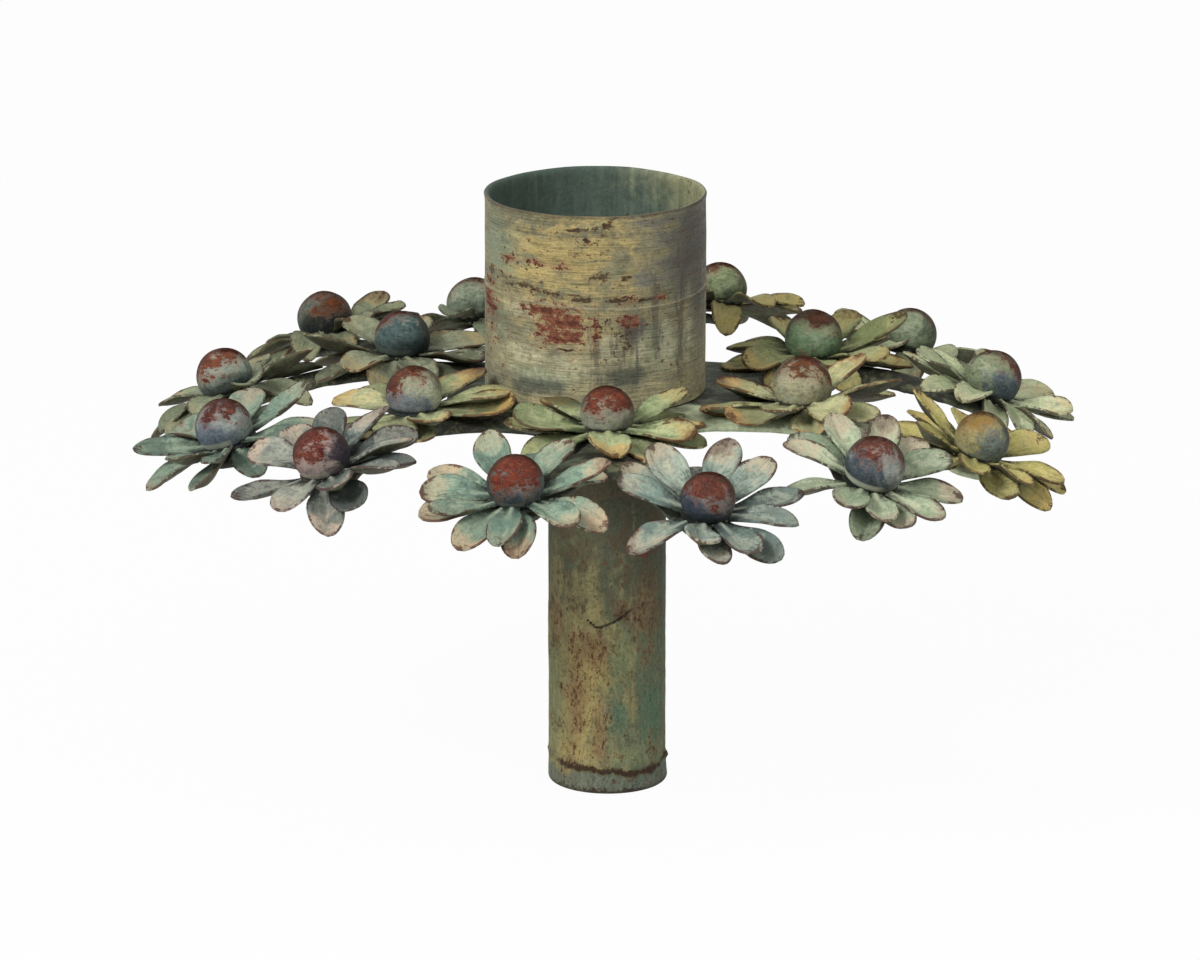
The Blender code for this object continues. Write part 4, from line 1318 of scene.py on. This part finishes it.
# Directions and colour of the painted shade along the beads' outline and on their crowns
BEAD_OUTLINE_SHADE_TOWARDS = (-0.08, -0.95, 0.27)
BEAD_CROWN_TOWARDS = (0.16, 0.42, 0.89)
BEAD_CROWN_SHADE = paint("35180F")
BEAD_PALE = paint("A4A795")
BEAD_FILM = paint("8E6A58")
BEAD_ORANGE = paint("7E4226")
BEAD_MAROON = paint("2E110F")
# Dark of the painted shade on the beads' lower halves
BEAD_LOW_SHADE = paint("20282A")


def petal_paint(name, ground, pale, shade, tip, worn):
    """Mottled verdigris, warmer at the tip, with worn brown edges, painted shade at the neck, in the creases
    and by the cup, and a painted highlight on the rib.
    """
    mix = Finish(name, ground)
    along, across, tone, shadow = mix.attributes("petal_along petal_across petal_tone petal_shadow")
    lengthwise = mix.node("ShaderNodeCombineXYZ", None, {0: across * 5, 1: along * 1.6, 2: tone * 90})
    strokes = mix.grain(1.0, 5, 0.7, 0.6, vector=lengthwise)
    cloud = mix.grain(170, 4, 0.6, 0.4)
    dabs = mix.grain((480, 480, 480), 5, 0.7, 0.5, (2, 5, 3))
    crumb = mix.grain(1400, 4, 0.75)
    x, y = mix.axis(0), mix.axis(1)

    mix.lay(pale, along + 2.2 * cloud + 1.2 * dabs, 0.25, 1.05, 0.85)
    # Painted shade towards the neck, round the bead.
    mix.lay(shade, along + 0.6 * cloud, 0.46, 0.06, 0.65)
    mix.lay(shade, tone + 1.2 * cloud, 0.50, 0.98, 0.65)
    mix.lay(pale, tone + 1.2 * cloud, 0.40, 0.00, 0.5)
    mix.lay(shade, shadow + 0.8 * cloud, 0.15, 1.0, 0.85)
    mix.lay(shade, strokes + 0.8 * dabs, 0.03, 0.16, 0.65)
    mix.lay(shade, dabs - 0.8 * cloud, 0.03, 0.13, 0.45)
    mix.lay(pale, cloud - 0.8 * dabs, 0.02, 0.12, 0.45)
    # Painted highlight along the raised rib at the neck.
    mix.lay(pale, abs(across), 0.40, 0.05, mix.rise(along, 0.50, 0.05) * 0.6)
    mix.lay(tip, along + 1.4 * cloud + dabs, 0.52, 0.95, mix.rise(tone, 0.95, 0.25) * 0.80)
    mix.tone(1.02 + 1.4 * strokes + 1.5 * dabs + 1.1 * crumb)
    # Painted shade on the petals close to the cup's wall.
    mix.lay(PAINTED_SHADE_DARK, x * x + y * y - 2 * CUP_CENTRE[0] * x, *CUP_SHADOW, 0.75)
    # Painted shade in the creases at the petals' necks, towards their sides.
    mix.lay(PAINTED_SHADE_DARK, along + 0.8 * crumb, 0.36, 0.04, mix.rise(abs(across), 0.15, 0.8) * 0.9)
    edge = mix.larger(abs(across) - 0.30 * mix.rise(along, 0.55, 0.0), along)
    broad = mix.rise(abs(tone - 0.40), 0.15, 0.07) * 0.6
    mix.lay(worn, edge + 0.9 * cloud + 0.6 * dabs, 0.76, 1.0, broad)
    dark_edge = (*[0.62 * channel for channel in worn[:3]], 1.0)
    mix.lay(dark_edge, edge + 0.55 * dabs + 0.4 * crumb + 0.6 * cloud, 0.935, 1.015, 0.85)
    mix.lay(worn, crumb + 0.8 * dabs, 0.17, 0.24, 0.5)
    return mix.finished(0.65 + dabs + crumb, SHEEN, strokes + 0.8 * dabs + crumb, depth=0.00022)


def underside_paint():
    """Dark green and brown, mottled, for the petals' undersides."""
    mix = Finish("petal_underside", UNDER_BROWN)
    cloud = mix.grain(230, 4, 0.65)
    crumb = mix.grain(1200, 4, 0.75)
    mix.lay(UNDER_GREEN, cloud, -0.05, 0.10)
    mix.lay(BROWN, crumb + 0.6 * cloud, 0.08, 0.16, 0.6)
    mix.tone(1.0 + 2.0 * crumb)
    return mix.finished(0.7 + crumb, SHEEN, crumb, depth=0.0002)


def bead_paint(name, centre, look):
    """A dome in its ground colour under a mottled rusty cap, with painted shade low down, round its foot and
    its outline.
    """
    mix = Finish(name, paint(look.ground))
    scale = 1 / (BEAD_RADIUS * look.size)
    local = mix.stretched(mix.place, (scale,) * 3, tuple(-scale * part for part in centre))
    shifted = mix.stretched(local, (1, 1, 1), tuple(1000 * part for part in centre))
    cloud = mix.grain(1.3, 4, 0.6, 0.8, vector=shifted)
    dabs = mix.grain(3.0, 5, 0.75, 0.8, vector=shifted)
    swirl = mix.grain((2.2, 2.2, 6.5), 4, 0.7, 1.6, vector=shifted)
    crumb = mix.grain(9.0, 4, 0.8, vector=shifted)
    height, = mix.attributes("bead_height")

    def facing(towards):
        sockets = {0: local, 1: tuple(Vector(towards).normalized())}
        return mix.node("ShaderNodeVectorMath", {"operation": "DOT_PRODUCT"}, sockets, "Value")

    mix.lay(BEAD_PALE, cloud + 0.6 * swirl, -0.03, 0.14, 0.45)
    mix.lay(paint(look.shade), facing(look.shade_towards) + 2.2 * cloud + 1.2 * swirl, 0.05, 0.60, 0.9)
    ragged = 2.2 * cloud + 1.8 * dabs + 1.2 * swirl + 0.8 * crumb
    reach = facing(look.cap_towards) + ragged * look.ragged - look.cap_reach
    mix.lay(BEAD_FILM, reach, -0.24, 0.08, 0.35)
    orange = mix.rise(dabs - 0.8 * swirl, -0.02, 0.10) * (0.60 * look.mottle)
    maroon = mix.rise(swirl + 0.7 * crumb, -0.04, 0.08) * (0.75 * look.mottle)
    cap = mix.over(maroon, BEAD_MAROON, mix.over(orange, BEAD_ORANGE, paint(look.cap)))
    cap = mix.over(mix.rise(crumb - 0.8 * dabs, 0.07, 0.14) * 0.30, BEAD_FILM, cap)
    mix.lay(cap, reach, 0.02, 0.34, 0.93)
    # Painted shade over the bead's lower half.
    mix.lay(BEAD_LOW_SHADE, height + 0.5 * cloud + 0.3 * dabs, 0.62, 0.18, look.gloom)
    mix.tone(1.0 + 1.9 * dabs + 1.5 * swirl + 1.5 * crumb)
    # Painted shade along the bead's outline as seen from the front, on its upper half.
    rim = abs(facing(BEAD_OUTLINE_SHADE_TOWARDS) - 0.18 + 0.7 * dabs)
    mix.lay(SOOT, rim, 0.44, 0.18, mix.rise(height, 0.35, 0.70) * 0.7)
    # Painted shade on the crown, the top of that outline.
    high = facing(BEAD_CROWN_TOWARDS) + 0.8 * dabs + 0.5 * cloud + 0.5 * swirl
    mix.lay(BEAD_CROWN_SHADE, high, 0.70, 0.90, 0.85)
    mix.lay(SOOT, crumb + 0.7 * dabs, 0.15, 0.22, 0.6)
    # Painted reflection: a pale line low on the left, by the look's crescent share.
    crescent = mix.rise(facing(BEAD_REFLECTION_TOWARDS) + 0.8 * dabs, 0.15, 0.6) * look.crescent
    mix.lay(BEAD_PALE, abs(height - 0.20), 0.10, 0.03, crescent)
    # Painted shade round the bead's foot, among the petals' necks.
    mix.lay(PAINTED_SHADE_DARK, height + 0.15 * crumb, 0.16, 0.09, 0.85)
    roughness = 0.58 + 0.8 * crumb + 0.4 * dabs + 0.4 * mix.rise(high, 0.70, 0.90)
    return mix.finished(roughness, BEAD_SHEEN, crumb + dabs, depth=0.00016)


# Floor, light and camera

def seen_or_mirrored(bench):
    """1 for what the camera sees straight, in a reflection or through glass, and 0 for light."""
    shown = bench.node("ShaderNodeLightPath", output="Is Camera Ray")
    for ray in ("Is Glossy Ray", "Is Transmission Ray"):
        shown = bench.larger(shown, bench.node("ShaderNodeLightPath", output=ray))
    return shown


def make_floor():
    bm = bmesh.new()
    bmesh.ops.create_grid(bm, x_segments=1, y_segments=1, size=FLOOR_HALF_WIDTH)
    mix = Finish("floor_white")
    glow = mix.node("ShaderNodeEmission", None, {"Color": (1, 1, 1, 1), "Strength": 1.0}, "Emission")
    matt = mix.node("ShaderNodeBsdfDiffuse", None, {"Color": (FLOOR_WHITE,) * 3 + (1,)}, "BSDF")
    share = seen_or_mirrored(mix) * FLOOR_GLOW
    both = mix.node("ShaderNodeMixShader", None, {0: share, 1: matt, 2: glow}, "Shader")
    mix.tree.nodes.remove(mix.shader)
    mix.tree.links.new(both.socket, mix.tree.nodes["Material Output"].inputs["Surface"])
    floor = add_piece("floor", plain_mesh(bm, "floor"), [mix.material])


def light_sky():
    """White where the camera looks and in reflections, a plain grey light elsewhere."""
    world = bpy.data.worlds.new("studio")
    bpy.context.scene.world = world
    world.use_nodes = True
    bench = Bench(world.node_tree)
    background = world.node_tree.nodes["Background"]
    background.inputs["Color"].default_value = (1, 1, 1, 1)
    bench.plug(background.inputs["Strength"], SKY_STRENGTH + (1 - SKY_STRENGTH) * seen_or_mirrored(bench))


def add_lamp(name, towards, power, size):
    data = bpy.data.lights.new(name, "AREA")
    data.energy = power
    data.size = size
    lamp = bpy.data.objects.new(name, data)
    bpy.context.scene.collection.objects.link(lamp)
    aim = Vector(towards).normalized()
    middle = (cad_low + cad_high) / 2
    lamp.location = middle + aim * LAMP_DISTANCE
    lamp.rotation_euler = aim.to_track_quat("Z", "Y").to_euler()


def set_camera():
    data = bpy.data.cameras.new("camera")
    data.lens = CAMERA_LENS
    data.sensor_width = CAMERA_SENSOR
    data.clip_end = 50
    camera = bpy.data.objects.new("camera", data)
    camera.location = CAMERA_PLACE
    camera.rotation_euler = (math.radians(90) - CAMERA_DIP, 0, 0)
    bpy.context.scene.collection.objects.link(camera)
    bpy.context.scene.camera = camera


bpy.context.scene.view_settings.view_transform = "Standard"
set_camera()
light_sky()
for name, lamp in LAMPS.items():
    add_lamp(name, *lamp)
make_floor()
make_cup()
make_cup_floor()
make_stem()
sheet_top = make_frame()
blank = add_piece("petal_blank", petal_blank(), [])
layers = layer_tree()
make_flowers()
bpy.data.objects.remove(blank)
